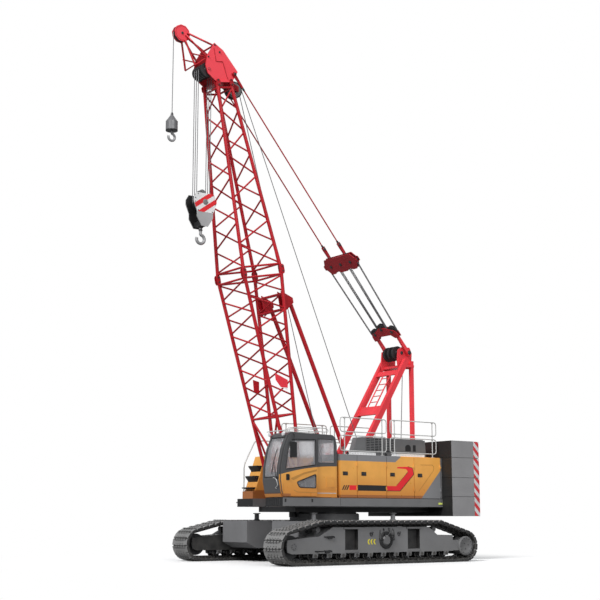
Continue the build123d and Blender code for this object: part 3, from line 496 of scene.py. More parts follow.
FINISH = {
    "track": ("track_left", "track_right"),
    "works": ("carbody", "slew_ring_lower"),
    "frames": ("track_frame_left", "track_frame_right"),
    "weight": ("carbody_weights",),
    "slabs": ("counterweight_tray", "counterweight_slabs"),
    "deck": ("deck", "winch_frames"),
    "steps": ("access_steps",),
    "hood": ("engine_hood",),
    "cab": ("cab_shell", "cab_door"),
    "nose": ("right_housing",),
    "house": ("left_housing", *DOORS),
    "red": ("boom_lower", "boom_upper", "pendants", "backstop_tubes"),
    "head_red": ("boom_head", "aux_tip"),
    "gantry_red": ("gantry",),
    "stay_red": ("lower_spreader", "bridle"),
    "bright": ("backstop_rods",),
    "iron": ("engine", "guide_sheaves"),
    "sheave": ("track_wheels_left", "track_wheels_right", "gantry_sheaves", "head_sheaves", "aux_tip_sheave",
               "main_drum", "aux_drum", "luff_drum"),
    "steel": ("aux_hook", "main_hook"),
    "ball": ("aux_weight",),
    "block": ("hook_block",),
    "rail": ("handrails",),
    "glass": ("cab_glass", "cab_door_glass"),
    "interior": ("cab_seat",),
    "rope": ("luff_winch_line",),
}


def dress_frame():
    for finish, names in FINISH.items():
        for name in names:
            slots = NODES[name].data.materials
            slots.clear()
            slots.append(MATERIALS[finish])


# Mesh helpers

def mesh_object(name, mesh, material, body=None, smooth=None):
    """An object from a bmesh, on its body. Edges sharper than smooth, in degrees, stay sharp."""
    bmesh.ops.recalc_face_normals(mesh, faces=mesh.faces)
    data = bpy.data.meshes.new(name)
    mesh.to_mesh(data)
    mesh.free()
    data.materials.append(material)
    made = add_object(name, data)
    if smooth:
        data.shade_smooth()
        data.set_sharp_from_angle(angle=math.radians(smooth))
    if body:
        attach(made, body)
    return made


def put(name, mesh, material, body, smooth=40):
    """A piece of the dressed crane on its body, in one of the materials."""
    made = mesh_object(name, mesh, MATERIALS[material], body, smooth)
    return made


def put_all(body, slot, *pieces):
    for name, mesh, material in pieces:
        put(name, mesh, material, body)


def meshes(count):
    return [bmesh.new() for _ in range(count)]


def turned(count):
    """Cosine and sine of evenly spaced angles once round."""
    return [(math.cos(t), math.sin(t)) for t in (2 * math.pi * i / count for i in range(count))]


def join(mesh, low, top, shift=0):
    """Walls between two rows of vertices, each closed on itself."""
    count = len(low)
    for k in range(count):
        j = (k + 1) % count
        mesh.faces.new((low[k], low[j], top[(j + shift) % count], top[(k + shift) % count]))


def add_pipe(mesh, points, radius, sides=8):
    """Round bar through points, with its rings mitred at each corner."""
    points = [Vector(p) for p in points]
    rings = []
    for i, p in enumerate(points):
        before = (p - points[i - 1]).normalized() if i else None
        after = (points[i + 1] - p).normalized() if i + 1 < len(points) else None
        along = ((before or after) + (after or before)).normalized()
        turn = along.to_track_quat("Z", "Y")
        grow = 1 / max(0.5, along.dot(after or before))
        rings.append([mesh.verts.new(p + turn @ Vector((radius * c, radius * s, 0)) * grow)
                      for c, s in turned(sides)])
    for low, top in zip(rings, rings[1:]):
        join(mesh, low, top, min(range(sides), key=lambda k: (top[k].co - low[0].co).length))
    mesh.faces.new(list(reversed(rings[0])))
    mesh.faces.new(rings[-1])


def add_tube(mesh, a, b, radius, sides=10):
    add_pipe(mesh, (a, b), radius, sides)


def add_loop(mesh, points, radius, sides=8):
    """Closed round bar through points of one plane, mitred at each."""
    points = [Vector(p) for p in points]
    turns = ((points[i - 1] - points[i - 2]).cross(points[i] - points[i - 1]) for i in range(len(points)))
    normal = next(turn for turn in turns if turn.length > 1e-6).normalized()
    rows = []
    for i, p in enumerate(points):
        before, after = (p - points[i - 1]).normalized(), (points[(i + 1) % len(points)] - p).normalized()
        along = (before + after).normalized()
        out, grow = along.cross(normal), 1 / max(0.5, along.dot(after))
        rows.append([mesh.verts.new(p + out * (radius * grow * c) + normal * (radius * s))
                     for c, s in turned(sides)])
    for low, top in zip(rows, rows[1:] + rows[:1]):
        join(mesh, low, top)


def rounded(points, radius, closed=False):
    """The points with each corner turned into a short curve of five steps."""
    points = [Vector(p) for p in points]
    made, last = [], len(points) - 1
    for i, p in enumerate(points):
        if not closed and i in (0, last):
            made.append(p)
            continue
        back, on = points[i - 1] - p, points[(i + 1) % len(points)] - p
        a = p + back.normalized() * min(radius, back.length * 0.45)
        b = p + on.normalized() * min(radius, on.length * 0.45)
        for t in (0, 0.2, 0.4, 0.6, 0.8, 1):
            made.append(a * (1 - t) ** 2 + p * (2 * t * (1 - t)) + b * t * t)
    return made


def add_prism(mesh, outline, low, high, across="y"):
    """Plate: an outline of the two other axes, from low to high across it."""
    def place(p, t):
        return (p[0], t, p[1]) if across == "y" else (t, p[0], p[1])
    bottom, top = ([mesh.verts.new(place(p, t)) for p in outline] for t in (low, high))
    mesh.faces.new(bottom)
    mesh.faces.new(list(reversed(top)))
    join(mesh, bottom, top)


def add_block(mesh, low, high, round_by=0.0, place=lambda a, b, c: (a, b, c)):
    """Block between two corners, its edges rounded off, in the axes that place turns into the frame's."""
    block = bmesh.new()
    for v in bmesh.ops.create_cube(block, size=1)["verts"]:
        v.co = place(*(l + (h - l) * (t + 0.5) for l, h, t in zip(low, high, v.co)))
    if round_by:
        bmesh.ops.bevel(block, geom=block.edges, offset=round_by, segments=2, affect="EDGES")
    data = bpy.data.meshes.new("block")  # a mesh of its own keeps the order of corners the same in every run
    block.to_mesh(data)
    block.free()
    mesh.from_mesh(data)
    bpy.data.meshes.remove(data)


def side_block(mesh, y, lift, x, z, round_by=0.0):
    """Block on an upright side at y that stands out by lift, between two x and two z."""
    low, high = sorted((y, y + lift))
    add_block(mesh, (x[0], low, z[0]), (x[1], high, z[1]), round_by)


def square_block(mesh, x, y, half, z, round_by=0.0):
    """Block about an upright line, between two heights."""
    add_block(mesh, (x - half, y - half, z[0]), (x + half, y + half, z[1]), round_by)


def spokes(axis, count):
    """Unit vectors evenly spaced about an axis."""
    u = axis.orthogonal().normalized()
    v = axis.cross(u)
    return [u * c + v * s for c, s in turned(count)]


def ring(mesh, centre, axis, profile, sides=32):
    """Turned piece: a closed profile of (radius, distance along the axis), about an axis through centre."""
    centre, axis = Vector(centre), Vector(axis).normalized()
    rows = [[mesh.verts.new(centre + spoke * r + axis * d) for r, d in profile]
            for spoke in spokes(axis, sides)]
    for low, top in zip(rows, rows[1:] + rows[:1]):
        join(mesh, low, top)


def lathe(mesh, centre, axis, *corners, sides=32, hole=0.001):
    """Turned piece from its outer corners, its ends flat up to the hole, or nearly up to the axis."""
    ring(mesh, centre, axis, [(hole, corners[0][1]), *corners, (hole, corners[-1][1])], sides)


def disc(mesh, centre, axis, radius, tall, sides=32, hole=0.001):
    lathe(mesh, centre, axis, (radius, 0), (radius, tall), sides=sides, hole=hole)


def bolt_ring(mesh, centre, axis, radius, count, size, tall):
    centre, axis = Vector(centre), Vector(axis).normalized()
    for spoke in spokes(axis, count):
        p = centre + spoke * radius
        add_tube(mesh, p, p + axis * tall, size, 6)


def clip(outline, limit, keep_above):
    """The part of an outline on one side of an upright line."""
    kept = []
    for (ax, az), (bx, bz) in zip(outline, outline[1:] + outline[:1]):
        inside_a, inside_b = ((p > limit) == keep_above for p in (ax, bx))
        if inside_a:
            kept.append((ax, az))
        if inside_a != inside_b:
            t = (limit - ax) / (bx - ax)
            kept.append((limit, az + t * (bz - az)))
    return kept


def strip(outline, low, high):
    """The part of an outline between two upright lines."""
    return clip(clip(outline, low, True), high, False)


# Ropes: straight runs of round bar between their two ends, in place of the frame's ropes

def rope(name, starts, stops, ends, replaced):
    mesh = bmesh.new()
    for a, b in zip(starts, stops):
        add_pipe(mesh, [Vector(a).lerp(Vector(b), i / ROPE_PARTS) for i in range(ROPE_PARTS + 1)], ROPE_R)
    made = mesh_object(name, mesh, MATERIALS["rope"], smooth=60)
    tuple(ends[0])
    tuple(ends[1])
    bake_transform(made)
    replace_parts(made, replaced)


def hoist_line(name, drum, y):
    g = boom_at(*GUIDE)
    run = Vector((g.x - drum[0], 0, g.z - drum[1]))
    out = Vector((-run.z, 0, run.x)).normalized()
    start = Vector((drum[0], y, drum[1])) + out * (BARREL + ROPE_R)
    end = Vector((g.x, y, g.z)) + out * (GUIDE_R + ROPE_R)
    rope(f"rope_{name}", [start], [end], (start, end), name)


def ropes():
    hoist_line("main_line", MAIN_DRUM, 0.075)
    hoist_line("aux_line", AUX_DRUM, -0.075)
    low, high = SPREADER_D, BRIDLE_D
    runs = [(s * a, s * b) for s in (-1, 1) for a, b in ((0.645, 0.752), (0.235, 0.288), (0.205, 0.232))]
    starts = [stay_at(low + (0.15 if abs(a) == 0.205 else 0), a, m) for a, b in runs for m in (-0.02, 0.02)]
    stops = [stay_at(high, b, m) for a, b in runs for m in (-0.02, 0.02)]
    for run, side in ((0, -1), (1, -1), (6, 1), (7, 1)):  # the outer ropes lie beside each other
        level = STAY_UP * (starts[run] - stay_at(low)).dot(STAY_UP)
        apart = Vector((0, side * 0.045 * (run % 2), 0)) - level
        starts[run] += apart
        stops[run] += apart
    rope("rope_stay", starts, stops, (stay_at(low + 0.1), stay_at(high - 0.1)),
         "luff_ropes")
    top = boom_at(*HEAD)
    places = [(top.x + x, y) for x in (-FALL, FALL) for y in (-0.12, 0, 0.12)]
    rope("rope_falls", [(x, y, top.z) for x, y in places], [(x, y, BLOCK_Z + 0.05) for x, y in places],
         ((top.x, 0, top.z - 0.3), (top.x, 0, BLOCK_Z + 0.35)), "main_falls")
    tip = boom_at(*TIP)
    x = tip.x + AUX_FALL
    rope("rope_aux", [(x, 0, tip.z)], [(x, 0, BALL_Z + 0.515)],
         ((x, 0, tip.z - 0.2), (x, 0, BALL_Z + 0.71)), "aux_rope")


# Undercarriage: shoes, chain, rollers, hubs and the frames' fittings

IDLER, SPROCKET = (3.38, 0.535, 0.52), (-3.42, 0.5, 0.48)  # x, z and radius of a belt's line at its ends
TRACK_Y, SHOES, FRAME_HALF = 2.6, 70, 0.35


def track_line():
    """Outer line of a belt's shoes, walked once round."""
    line = [(-3.05, 0.0), (3.05, 0.0)]
    for (x, z, r), (first, last) in ((IDLER, (-87, 78)), (SPROCKET, (106, 268))):
        if x < 0:
            line += [(2.4, 1.285), (-2.4, 1.285)]
        line += [(x + r * math.cos(math.radians(a)), z + r * math.sin(math.radians(a)))
                 for a in range(first, last, 11)]
    return line


def walk(line, count, offset=0.0):
    """Evenly spaced places on a closed line, each with its outward normal."""
    ends = line[1:] + line[:1]
    lengths = [math.dist(a, b) for a, b in zip(line, ends)]
    total, places = sum(lengths), []
    for i in range(count):
        left, k = total * ((i + offset) % count) / count, 0
        while left > lengths[k]:
            left, k = left - lengths[k], k + 1
        (ax, az), (bx, bz) = line[k], ends[k]
        ux, uz = (bx - ax) / lengths[k], (bz - az) / lengths[k]
        places.append((ax + ux * left, az + uz * left, uz, -ux))
    return places


def track_details(side, name):
    y = side * TRACK_Y
    shoes, bolts, chain, lugs = meshes(4)
    for x, z, out_x, out_z in walk(track_line(), SHOES, 0.5):
        def place(along, across, out):
            """Point in a shoe's own axes: along the belt, across it and outwards."""
            return Vector((x - out_z * along + out_x * out, y + across, z + out_x * along + out_z * out))

        def shoe_block(mesh, along, half, across, half_across, out):
            add_block(mesh, (along - half, across - half_across, out[0]),
                      (along + half, across + half_across, out[1]), place=place)

        if out_z > -0.9:
            for edge in (-1, 1):
                for at in (-0.31, -0.155, 0.0, 0.155, 0.31):
                    shoe_block(shoes, edge * 0.092, 0.015, at, 0.052, (0.0, 0.026))
                for at in (-0.21, -0.07, 0.07, 0.21):
                    add_tube(bolts, place(edge * 0.045, at, 0), place(edge * 0.045, at, 0.009), 0.015, 6)
        for edge in (-1, 1):
            shoe_block(chain, 0, 0.085, edge * 0.14, 0.011, (-0.15, -0.07))
            add_tube(chain, place(0.095, edge * 0.152, -0.12), place(0.095, edge * 0.182, -0.12), 0.036, 10)
            shoe_block(lugs, 0, 0.035, edge * 0.24, 0.03, (-0.135, -0.07))
            shoe_block(lugs, 0, 0.075, edge * 0.41, 0.03, (-0.1, -0.07))
    put_all("lower_works", "track_paint", (f"track_grips_{name}", shoes, "track"),
            (f"track_bolts_{name}", bolts, "bolt"), (f"track_chain_{name}", chain, "chain"),
            (f"track_lugs_{name}", lugs, "chain"))


def frame_details(side, name):
    y, axis = side * TRACK_Y, (0, side, 0)
    outer = y + side * FRAME_HALF
    rollers, plates, dark, bolts, chevrons = meshes(5)

    def out(x, z, lift=0.0):
        """Point that stands out from the frame's outer side by lift."""
        return x, outer + side * lift, z

    for edge in (-1, 1):
        face = y + edge * (FRAME_HALF + 0.001)
        for x in (-2.6 + 0.52 * i for i in range(11)):
            ring(rollers, (x, y + edge * 0.138, 0.27), (0, edge, 0),
                 [(0.1, 0), (0.142, 0.006), (0.142, 0.02), (0.1, 0.034)], 24)
            add_tube(rollers, (x, y + edge * 0.35, 0.285), (x, y + edge * 0.366, 0.285), 0.05, 12)
            add_prism(plates, [(x - 0.1, 0.345), (x + 0.1, 0.345), (x + 0.075, 0.235), (x - 0.075, 0.235)],
                      face, y + edge * 0.358)
        for x in (1.24, -1.24):
            side_block(plates, face - edge * 0.02, edge * 0.05, (x - 0.3, x + 0.3), (1.05, 1.1))
            side_block(plates, face, edge * 0.012, (x - 0.26, x + 0.26), (0.36, 0.43))
            add_prism(plates, [(x + 0.25, 0.44), (x + 0.16, 0.44), (x + 0.215, 0.53), (x + 0.25, 0.62)],
                      face - edge * 0.045, face - edge * 0.02)
    for x0, x1, z in ((1.9, 2.28, 0.82), (2.0, 2.62, 0.41)):
        add_pipe(dark, [out(x0, z, 0.02), out(x0 + 0.1, z + 0.02, 0.035), out(x1 - 0.12, z, 0.035),
                        out(x1, z + 0.01, 0.015)], 0.018)
        add_prism(dark, [(x0 + 0.1, z - 0.045), (x0 + 0.24, z - 0.045), (x0 + 0.28, z + 0.03),
                         (x0 + 0.06, z + 0.03)], outer + side * 0.001, outer + side * 0.05)
    swivel_x, swivel_z = -0.1, 0.71
    lathe(dark, out(swivel_x, swivel_z), axis, (0.26, 0), (0.26, 0.03), (0.23, 0.045), sides=40, hole=0.17)
    lathe(plates, out(swivel_x, swivel_z), axis, (0.17, 0), (0.17, 0.02), (0.12, 0.07))
    bolt_ring(bolts, out(swivel_x, swivel_z, 0.02), axis, 0.145, 8, 0.014, 0.018)
    for x, z in ((0.16, 0.73), (0.02, 0.9), (-0.2, 0.93), (-0.34, 0.86), (-0.38, 0.72)):  # its hoses
        near = out(swivel_x + (x - swivel_x) * 0.45, swivel_z + (z - swivel_z) * 0.45, 0.05)
        add_pipe(dark, [near, out(x, z, 0.06), out(x - 0.02, z + 0.12, 0.03), out(x - 0.04, 1.07, -0.03)],
                 0.02)
    for x in (0.48, -0.62):
        disc(bolts, out(x, 0.88), axis, 0.052, 0.02, 16, 0.03)
        add_pipe(bolts, [out(x - 0.06, 0.9, 0.01), out(x - 0.05, 0.95, 0.04), out(x + 0.05, 0.95, 0.04),
                         out(x + 0.06, 0.9, 0.01)], 0.011, 6)
    disc(plates, out(IDLER[0], 0.56), axis, 0.1, 0.012, 28)
    bolt_ring(bolts, out(IDLER[0], 0.56, 0.012), axis, 0.07, 6, 0.012, 0.01)
    hub = [(SPROCKET[0], y + side * lift, SPROCKET[1]) for lift in (0.395, 0.409, 0.401)]
    lathe(plates, hub[0], axis, (0.285, 0), (0.27, 0.016), (0.2, 0.016), (0.19, 0.008), sides=48)
    bolt_ring(bolts, hub[1], axis, 0.237, 14, 0.013, 0.014)
    bolt_ring(bolts, hub[2], axis, 0.1, 3, 0.02, 0.012)
    for x0, x1 in ((-0.62, 0.62), (-1.85, -1.55), (1.55, 1.9)):
        add_block(dark, (x0, y - 0.3, 1.1), (x1, y + 0.3, 1.12), 0.004)
    for x in (0.58 - 0.115 * i for i in range(3)):
        tip = x + 0.05
        add_prism(chevrons, [(x, 0.745), (x - 0.045, 0.745), (tip - 0.045, 0.665), (x - 0.045, 0.585),
                             (x, 0.585), (tip, 0.665)], outer + side * 0.0005, outer + side * 0.002)
    put_all("lower_works", "works_grey", (f"rollers_{name}", rollers, "chain"),
            (f"plates_{name}", plates, "works"), (f"fittings_{name}", dark, "black"),
            (f"frame_bolts_{name}", bolts, "bolt"))
    put(f"chevrons_{name}", chevrons, "sign", "lower_works", None)


def undercarriage():
    for side, name in ((1, "left"), (-1, "right")):
        track_details(side, name)
        frame_details(side, name)
    body, bolts = meshes(2)
    bolt_ring(bolts, (0, 0, 1.5), UP, 1.085, 40, 0.018, 0.02)
    for x in (-1.6, 1.6):
        for y in (-1.55, 1.55):
            lathe(body, (x, y, 1.5), UP, (0.105, 0), (0.12, 0.012), (0.12, 0.03), sides=28)
            lathe(body, (x, y, 1.28), UP, (0.115, 0), (0.115, 0.02), (0.09, 0.05), sides=28, hole=0.076)
    for end in (-1, 1):
        for side in (-1, 1):
            disc(bolts, (end * 2.3, side * 2.1, 0.97), (0, side, 0), 0.04, 0.02, hole=0.02)
        for y in (-0.35, 0.0, 0.35):
            x0, x1 = sorted((end * 1.5, end * 1.52))
            add_block(body, (x0, y - 0.02, 0.5), (x1, y + 0.02, 1.15), 0.003)
    put_all("lower_works", "works_grey", ("carbody_fittings", body, "works"),
            ("slew_ring_bolts", bolts, "bolt"))


# Housings and doors: stripes cut to each door, latches, painted shade along the folds, louvres

RED_STRIPE = [[(0.31, 2.238), (0.31, 2.385), (-0.03, 2.385), (-0.03, 2.238)],
              [(-1.23, 2.238), (-1.23, 2.385), (-1.63, 2.385), (-1.79, 2.238)],
              [(-1.63, 2.385), (-1.79, 2.238), (-2.39, 2.775), (-2.15, 2.84)],
              [(-2.15, 2.84), (-2.39, 2.775), (-2.345, 2.97), (-2.1, 2.915)],
              [(-2.345, 2.97), (-2.1, 2.915), (-2.045, 2.945), (-2.14, 3.02)],
              [(-2.14, 3.02), (-2.045, 2.945), (-1.69, 2.955), (-1.69, 3.0)]]
BLACK_STRIPE = [[(x, 2.238), (x + 0.05, 2.238), (x - 0.035, 2.385), (x - 0.085, 2.385)]
                for x in (0.56, 0.475, 0.39)]
BLACK_STRIPE += [[(-0.03, 2.22), (-0.03, 2.4), (-1.23, 2.395), (-1.23, 2.22)],
                 [(-1.23, 2.22), (-1.23, 2.238), (-1.79, 2.238), (-1.805, 2.22)],
                 [(-1.79, 2.238), (-1.805, 2.22), (-2.415, 2.77), (-2.39, 2.775)],
                 [(-2.39, 2.775), (-2.415, 2.77), (-2.362, 2.985), (-2.345, 2.97)],
                 [(-2.345, 2.97), (-2.362, 2.985), (-2.145, 3.035), (-2.14, 3.02)],
                 [(-1.63, 2.385), (-1.635, 2.4), (-2.135, 2.85), (-2.15, 2.84)]]
# Painted shade along the fold of the rear housings, as thin darker strips.
CREASE_SHADE = [[(-2.7, 3.085), (-2.7, 3.1), (-3.22, 3.115), (-3.205, 3.095)],
          [(-3.22, 3.115), (-3.205, 3.095), (-3.28, 3.045), (-3.305, 3.05)],
          [(-3.28, 3.045), (-3.305, 3.05), (-3.285, 2.915), (-3.265, 2.92)],
          [(-3.285, 2.915), (-3.265, 2.92), (-2.595, 2.235), (-2.61, 2.222)]]
STRIPES = (("red", RED_STRIPE, 0.0012, "stripe"), ("black", BLACK_STRIPE, 0.001, "black"),
           ("crease", CREASE_SHADE, 0.004, "crease"))


def door_details():
    for name, (rear, front, x) in DOORS.items():
        side = 1 if name.startswith("left") else -1
        face = side * SIDE_Y
        for kind, outlines, thick, material in STRIPES:
            mesh = bmesh.new()
            for outline in outlines:
                cut = strip(outline, rear + 0.002, front - 0.002)
                if len(cut) > 2:
                    add_prism(mesh, cut, face, face + side * thick)
            if mesh.faces:
                put(f"{kind}_{name}", mesh, material, name, None)
            else:
                mesh.free()
        latch, paddle, edge = meshes(3)
        side_block(latch, face, side * 0.008, (x - 0.1, x + 0.1), (2.69, 2.81), 0.006)
        side_block(paddle, face, side * 0.018, (x - 0.08, x + 0.02), (2.71, 2.79), 0.008)
        disc(paddle, (x + 0.06, face + side * 0.008, 2.75), (0, side, 0), 0.02, 0.008, 14)
        put_all(name, "dark_steel", (f"latch_{name}", latch, "black"),
                (f"latch_paddle_{name}", paddle, "bolt"))
        side_block(edge, face, side * 0.003, (max(rear + 0.02, -2.8), front - 0.01), (2.09, 2.1))
        if side < 0 and name != "right_door_1":
            for z in (2.45 + 0.07 * k for k in range(10)):
                side_block(edge, face, -0.016, (rear + 0.25, rear + 0.95), (z, z + 0.035), 0.006)
        put(f"edging_{name}", edge, "yellow", name)


def housing_details():
    hood_y, toe_y = 1.3, 1.6
    dark, pale, grey, black = meshes(4)
    for side in (-1, 1):
        y = side * toe_y
        for x0, x1 in ((-0.86, 0.245), (-2.97, -1.53)):
            for x in (x0 + 0.065 * k for k in range(int((x1 - x0) / 0.065))):
                add_block(pale, (x, y - 0.012, 3.362), (x + 0.04, y + 0.012, 3.42))
            for z in ((ROOF, 3.372), (3.415, 3.435)):
                add_block(pale, (x0, y - 0.014, z[0]), (x1, y + 0.014, z[1]))
        side_block(grey, side * hood_y, side * 0.39, (-3.655, -3.6), (2.0, 3.33))
        for x in (-3.45, -1.42, 0.62):
            square_block(black, x, side * 1.45, 0.05, (ROOF, 3.375), 0.006)
            lathe(black, (x, side * 1.45, 3.4), (1, 0, 0), (0.045, -0.01), (0.045, 0.01), sides=16,
                  hole=0.022)
    for x in ((-1.42, -0.7), (-1.9, -1.5)):
        side_block(black, hood_y, 0.004, x, (3.5, 3.91))
        for z in (3.54 + 0.054 * k for k in range(7)):
            add_prism(dark, [(1.304, z), (1.318, z - 0.018), (1.322, z - 0.008), (1.304, z + 0.012)], *x, "x")
    for x in (-1.42, -1.24, -1.06, -0.88, -0.7, -1.9, -1.7, -1.5):
        side_block(dark, hood_y, 0.024, (x - 0.012, x + 0.012), (3.5, 3.91))
    arch = [(-2.64, 3.55), (-2.4, 3.55), (-2.4, 3.68)]
    arch += [(-2.52 + 0.12 * c, 3.68 + 0.085 * s) for c, s in turned(16)[1:8]]
    add_prism(black, arch + [(-2.64, 3.68)], 1.301, 1.306)
    side_block(black, 1.301, 0.005, (-2.86, -2.74), (3.55, 3.76))
    for x0, x1 in ((-3.2, -2.05), (-1.95, -0.55)):
        for y in (1.08 + 0.022 * k for k in range(10)):
            add_block(dark, (x0, y, 3.93), (x1, y + 0.009, 3.95))
    put("hood_louvres", dark, "hood", "upper")
    put("toe_boards", pale, "white", "upper")
    put("housing_ends", grey, "deck", "upper")
    put("roof_fittings", black, "black", "upper")


def deck_details():
    trims, slots, lamps = meshes(3)
    for side in (-1, 1):
        face = side * SIDE_Y
        for x in ((2.78, 1.77) if side > 0 else (2.0, 1.3)):
            side_block(slots, face, side * 0.004, (x - 0.03, x + 0.03), (1.85, 1.95), 0.004)
        for x in (0.67, -3.6):
            side_block(slots, face, side * 0.002, (x - 0.005, x + 0.005), (1.73, 1.98))
        side_block(lamps, face, side * 0.02, (-3.64, -3.47), (1.8, 1.87), 0.01)
        side_block(trims, face, side * 0.01, (-3.66, 2.27), (1.727, 1.75), 0.003)
    for y in (0.9 + 0.1 * k for k in range(7)):
        add_block(trims, (2.88, y, 1.76), (2.886, y + 0.04, 1.95), 0.002)
    put("deck_trims", trims, "deck", "upper")
    put("deck_slots", slots, "black", "upper")
    put("deck_lamps", lamps, "lamp", "upper")


# Counterweight: warning stripes on the rear corners, lifting pads

STRIPE_PITCH, STRIPE_DROP, STRIPE_THICK, STRIPE_TOP = 0.309, 0.24, 0.158, 3.685
SLABS = ((1.44, 2.055), (2.078, 2.68), (2.705, 3.34), (3.365, 3.905))


def counterweight_details():
    white, red, pads = meshes(3)
    for side in (-1, 1):
        a, b = Vector((-4.66, side * 2.18, 0)), Vector((-5.05, side * 2.05, 0))
        along = (b - a).normalized()
        out = Vector((along.y, -along.x, 0)) * side
        first, last = 0.015, (b - a).length - 0.005

        def panel(mesh, corners, lift):
            low, top = ([mesh.verts.new(a + along * u + out * height + Vector((0, 0, z))) for u, z in corners]
                        for height in (0.0005, lift))
            mesh.faces.new(low)
            mesh.faces.new(top)
            join(mesh, low, top)

        for z0, z1 in SLABS:
            panel(white, [(first, z0), (last, z0), (last, z1), (first, z1)], 0.0015)
            for base in (STRIPE_TOP - k * STRIPE_PITCH for k in range(9)):
                cut = strip([(base + STRIPE_DROP, first), (base, last), (base + STRIPE_THICK, last),
                             (base + STRIPE_DROP + STRIPE_THICK, first)], z0, z1)
                if len(cut) > 2:
                    panel(red, [(u, z) for z, u in cut], 0.003)
        for x in (-4.0, -4.7):
            square_block(pads, x, side * 1.5, 0.09, (3.9, 3.915), 0.004)
    put("warning_white", white, "white", "upper", None)
    put("warning_red", red, "stripe", "upper", None)
    put("weight_pads", pads, "weight", "upper")


# Handrails: bent tube with clamps, in place of the frame's straight bars

RAIL_Y, RAIL_LOOPS = 1.59, ((3.47, 3.95), (4.07, 4.52))


def handrail_details():
    rails, clamps = meshes(2)
    for y in (-RAIL_Y, RAIL_Y):
        for x0, x1, posts in ((-1.33, 0.58, (-1.15, 0.4)), (-3.52, -1.5, (-3.35, -1.68))):
            for low, top in RAIL_LOOPS:
                corners = [(x0, y, low), (x0, y, top), (x1, y, top), (x1, y, low)]
                add_loop(rails, rounded(corners, 0.11, True), 0.016, 12)
            for x in posts:
                add_tube(rails, (x, y, ROOF), (x, y, RAIL_LOOPS[-1][1]), 0.017, 12)
                for z in (3.47, 3.95, 4.07, 4.51):
                    add_block(clamps, (x - 0.03, y - 0.026, z - 0.026), (x + 0.03, y + 0.026, z + 0.026),
                              0.006)
                add_block(clamps, (x - 0.05, y - 0.045, ROOF), (x + 0.05, y + 0.045, 3.362), 0.003)
    y = -1.38
    nose = [(2.232, y, 2.22), (2.232, y, 3.07), (1.8, y, 3.88), (0.9, y, 3.88), (0.9, y, ROOF)]
    add_pipe(rails, rounded(nose, 0.14), 0.019, 12)
    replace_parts(put("rails", rails, "rail", "upper", 50), "handrails")
    put("rail_clamps", clamps, "rail", "upper")


# Cab: seals, handle, painted shade along the door's folds, wiper, mirror, roof rail, and the operator's place
# inside

CAB_FRONT = [(2.0, 2.88), (2.15, 2.93), (2.52, 3.0), (2.9, 2.985), (3.45, 2.87), (3.88, 2.68), (3.96, 2.56)]
DOOR_FACE = 1.72
DOOR_WINDOW = [(1.65, 2.985), (2.79, 2.83), (2.7, 3.4), (2.56, 3.74), (1.65, 3.76)]
LOW_WINDOW = [(1.64, 2.28), (2.27, 2.29), (2.37, 2.45), (1.64, 2.7)]
# Painted shade along the cab door's folds, as thin darker strips.
DOOR_CREASE_SHADES = (
    [(2.595, 2.564), (2.089, 2.747), (1.604, 2.851), (1.605, 2.79), (2.089, 2.69), (2.5, 2.5)],
    [(2.494, 2.2), (2.36, 2.14), (1.62, 2.13), (1.62, 2.15), (2.34, 2.16), (2.47, 2.22)])
BLADE = ((1.44, 3.45), (1.4, 3.298), (1.35, 3.0), (1.31, 2.7))  # of the wiper, in y and z
WIPER_ARM = ((1.36, 3.08, 0.04), (1.45, 2.95, 0.045), (1.55, 2.56, 0.03))  # in y, z and lift off the front
GRAB_BAR = ((1.41, 2.58, 0.0), (1.41, 2.57, 0.05), (1.53, 2.56, 0.05), (1.61, 2.5, 0.05), (1.63, 2.35, 0.05),
            (1.47, 2.26, 0.05), (1.47, 2.25, 0.0))
SEAT_Y = 1.23


def on_front(y, z, lift=0.0):
    """Point on the curved front of the cab."""
    for (z0, x0), (z1, x1) in zip(CAB_FRONT, CAB_FRONT[1:]):
        if z <= z1:
            return x0 + (x1 - x0) * (z - z0) / (z1 - z0) + lift, y, z
    return CAB_FRONT[-1][1] + lift, y, z


def cab_door_details():
    seals, handle, crease = meshes(3)
    for window in (DOOR_WINDOW, LOW_WINDOW):
        add_loop(seals, rounded([(x, DOOR_FACE, z) for x, z in window], 0.06, True), 0.014)
    put("door_seals", seals, "black", "cab_door", 50)
    side_block(handle, DOOR_FACE, 0.007, (2.655, 2.772), (2.5, 2.685), 0.01)
    grip = [(2.68, 1.722, 2.52), (2.68, 1.765, 2.52), (2.68, 1.765, 2.66), (2.68, 1.722, 2.66)]
    add_pipe(handle, rounded(grip, 0.02), 0.009)
    disc(handle, (2.735, 1.727, 2.6), (0, 1, 0), 0.018, 0.008, 16)
    put("door_handle", handle, "black", "cab_door")
    # Thin darker strips as painted shade along the door's folds.
    for outline in DOOR_CREASE_SHADES:
        add_prism(crease, outline, DOOR_FACE, 1.7235)
    for x in (1.585, 2.86):
        side_block(crease, DOOR_FACE, 0.004, (x, x + 0.012), (2.06, 2.4), 0.002)
    put("door_crease_shades", crease, "crease", "cab_door")


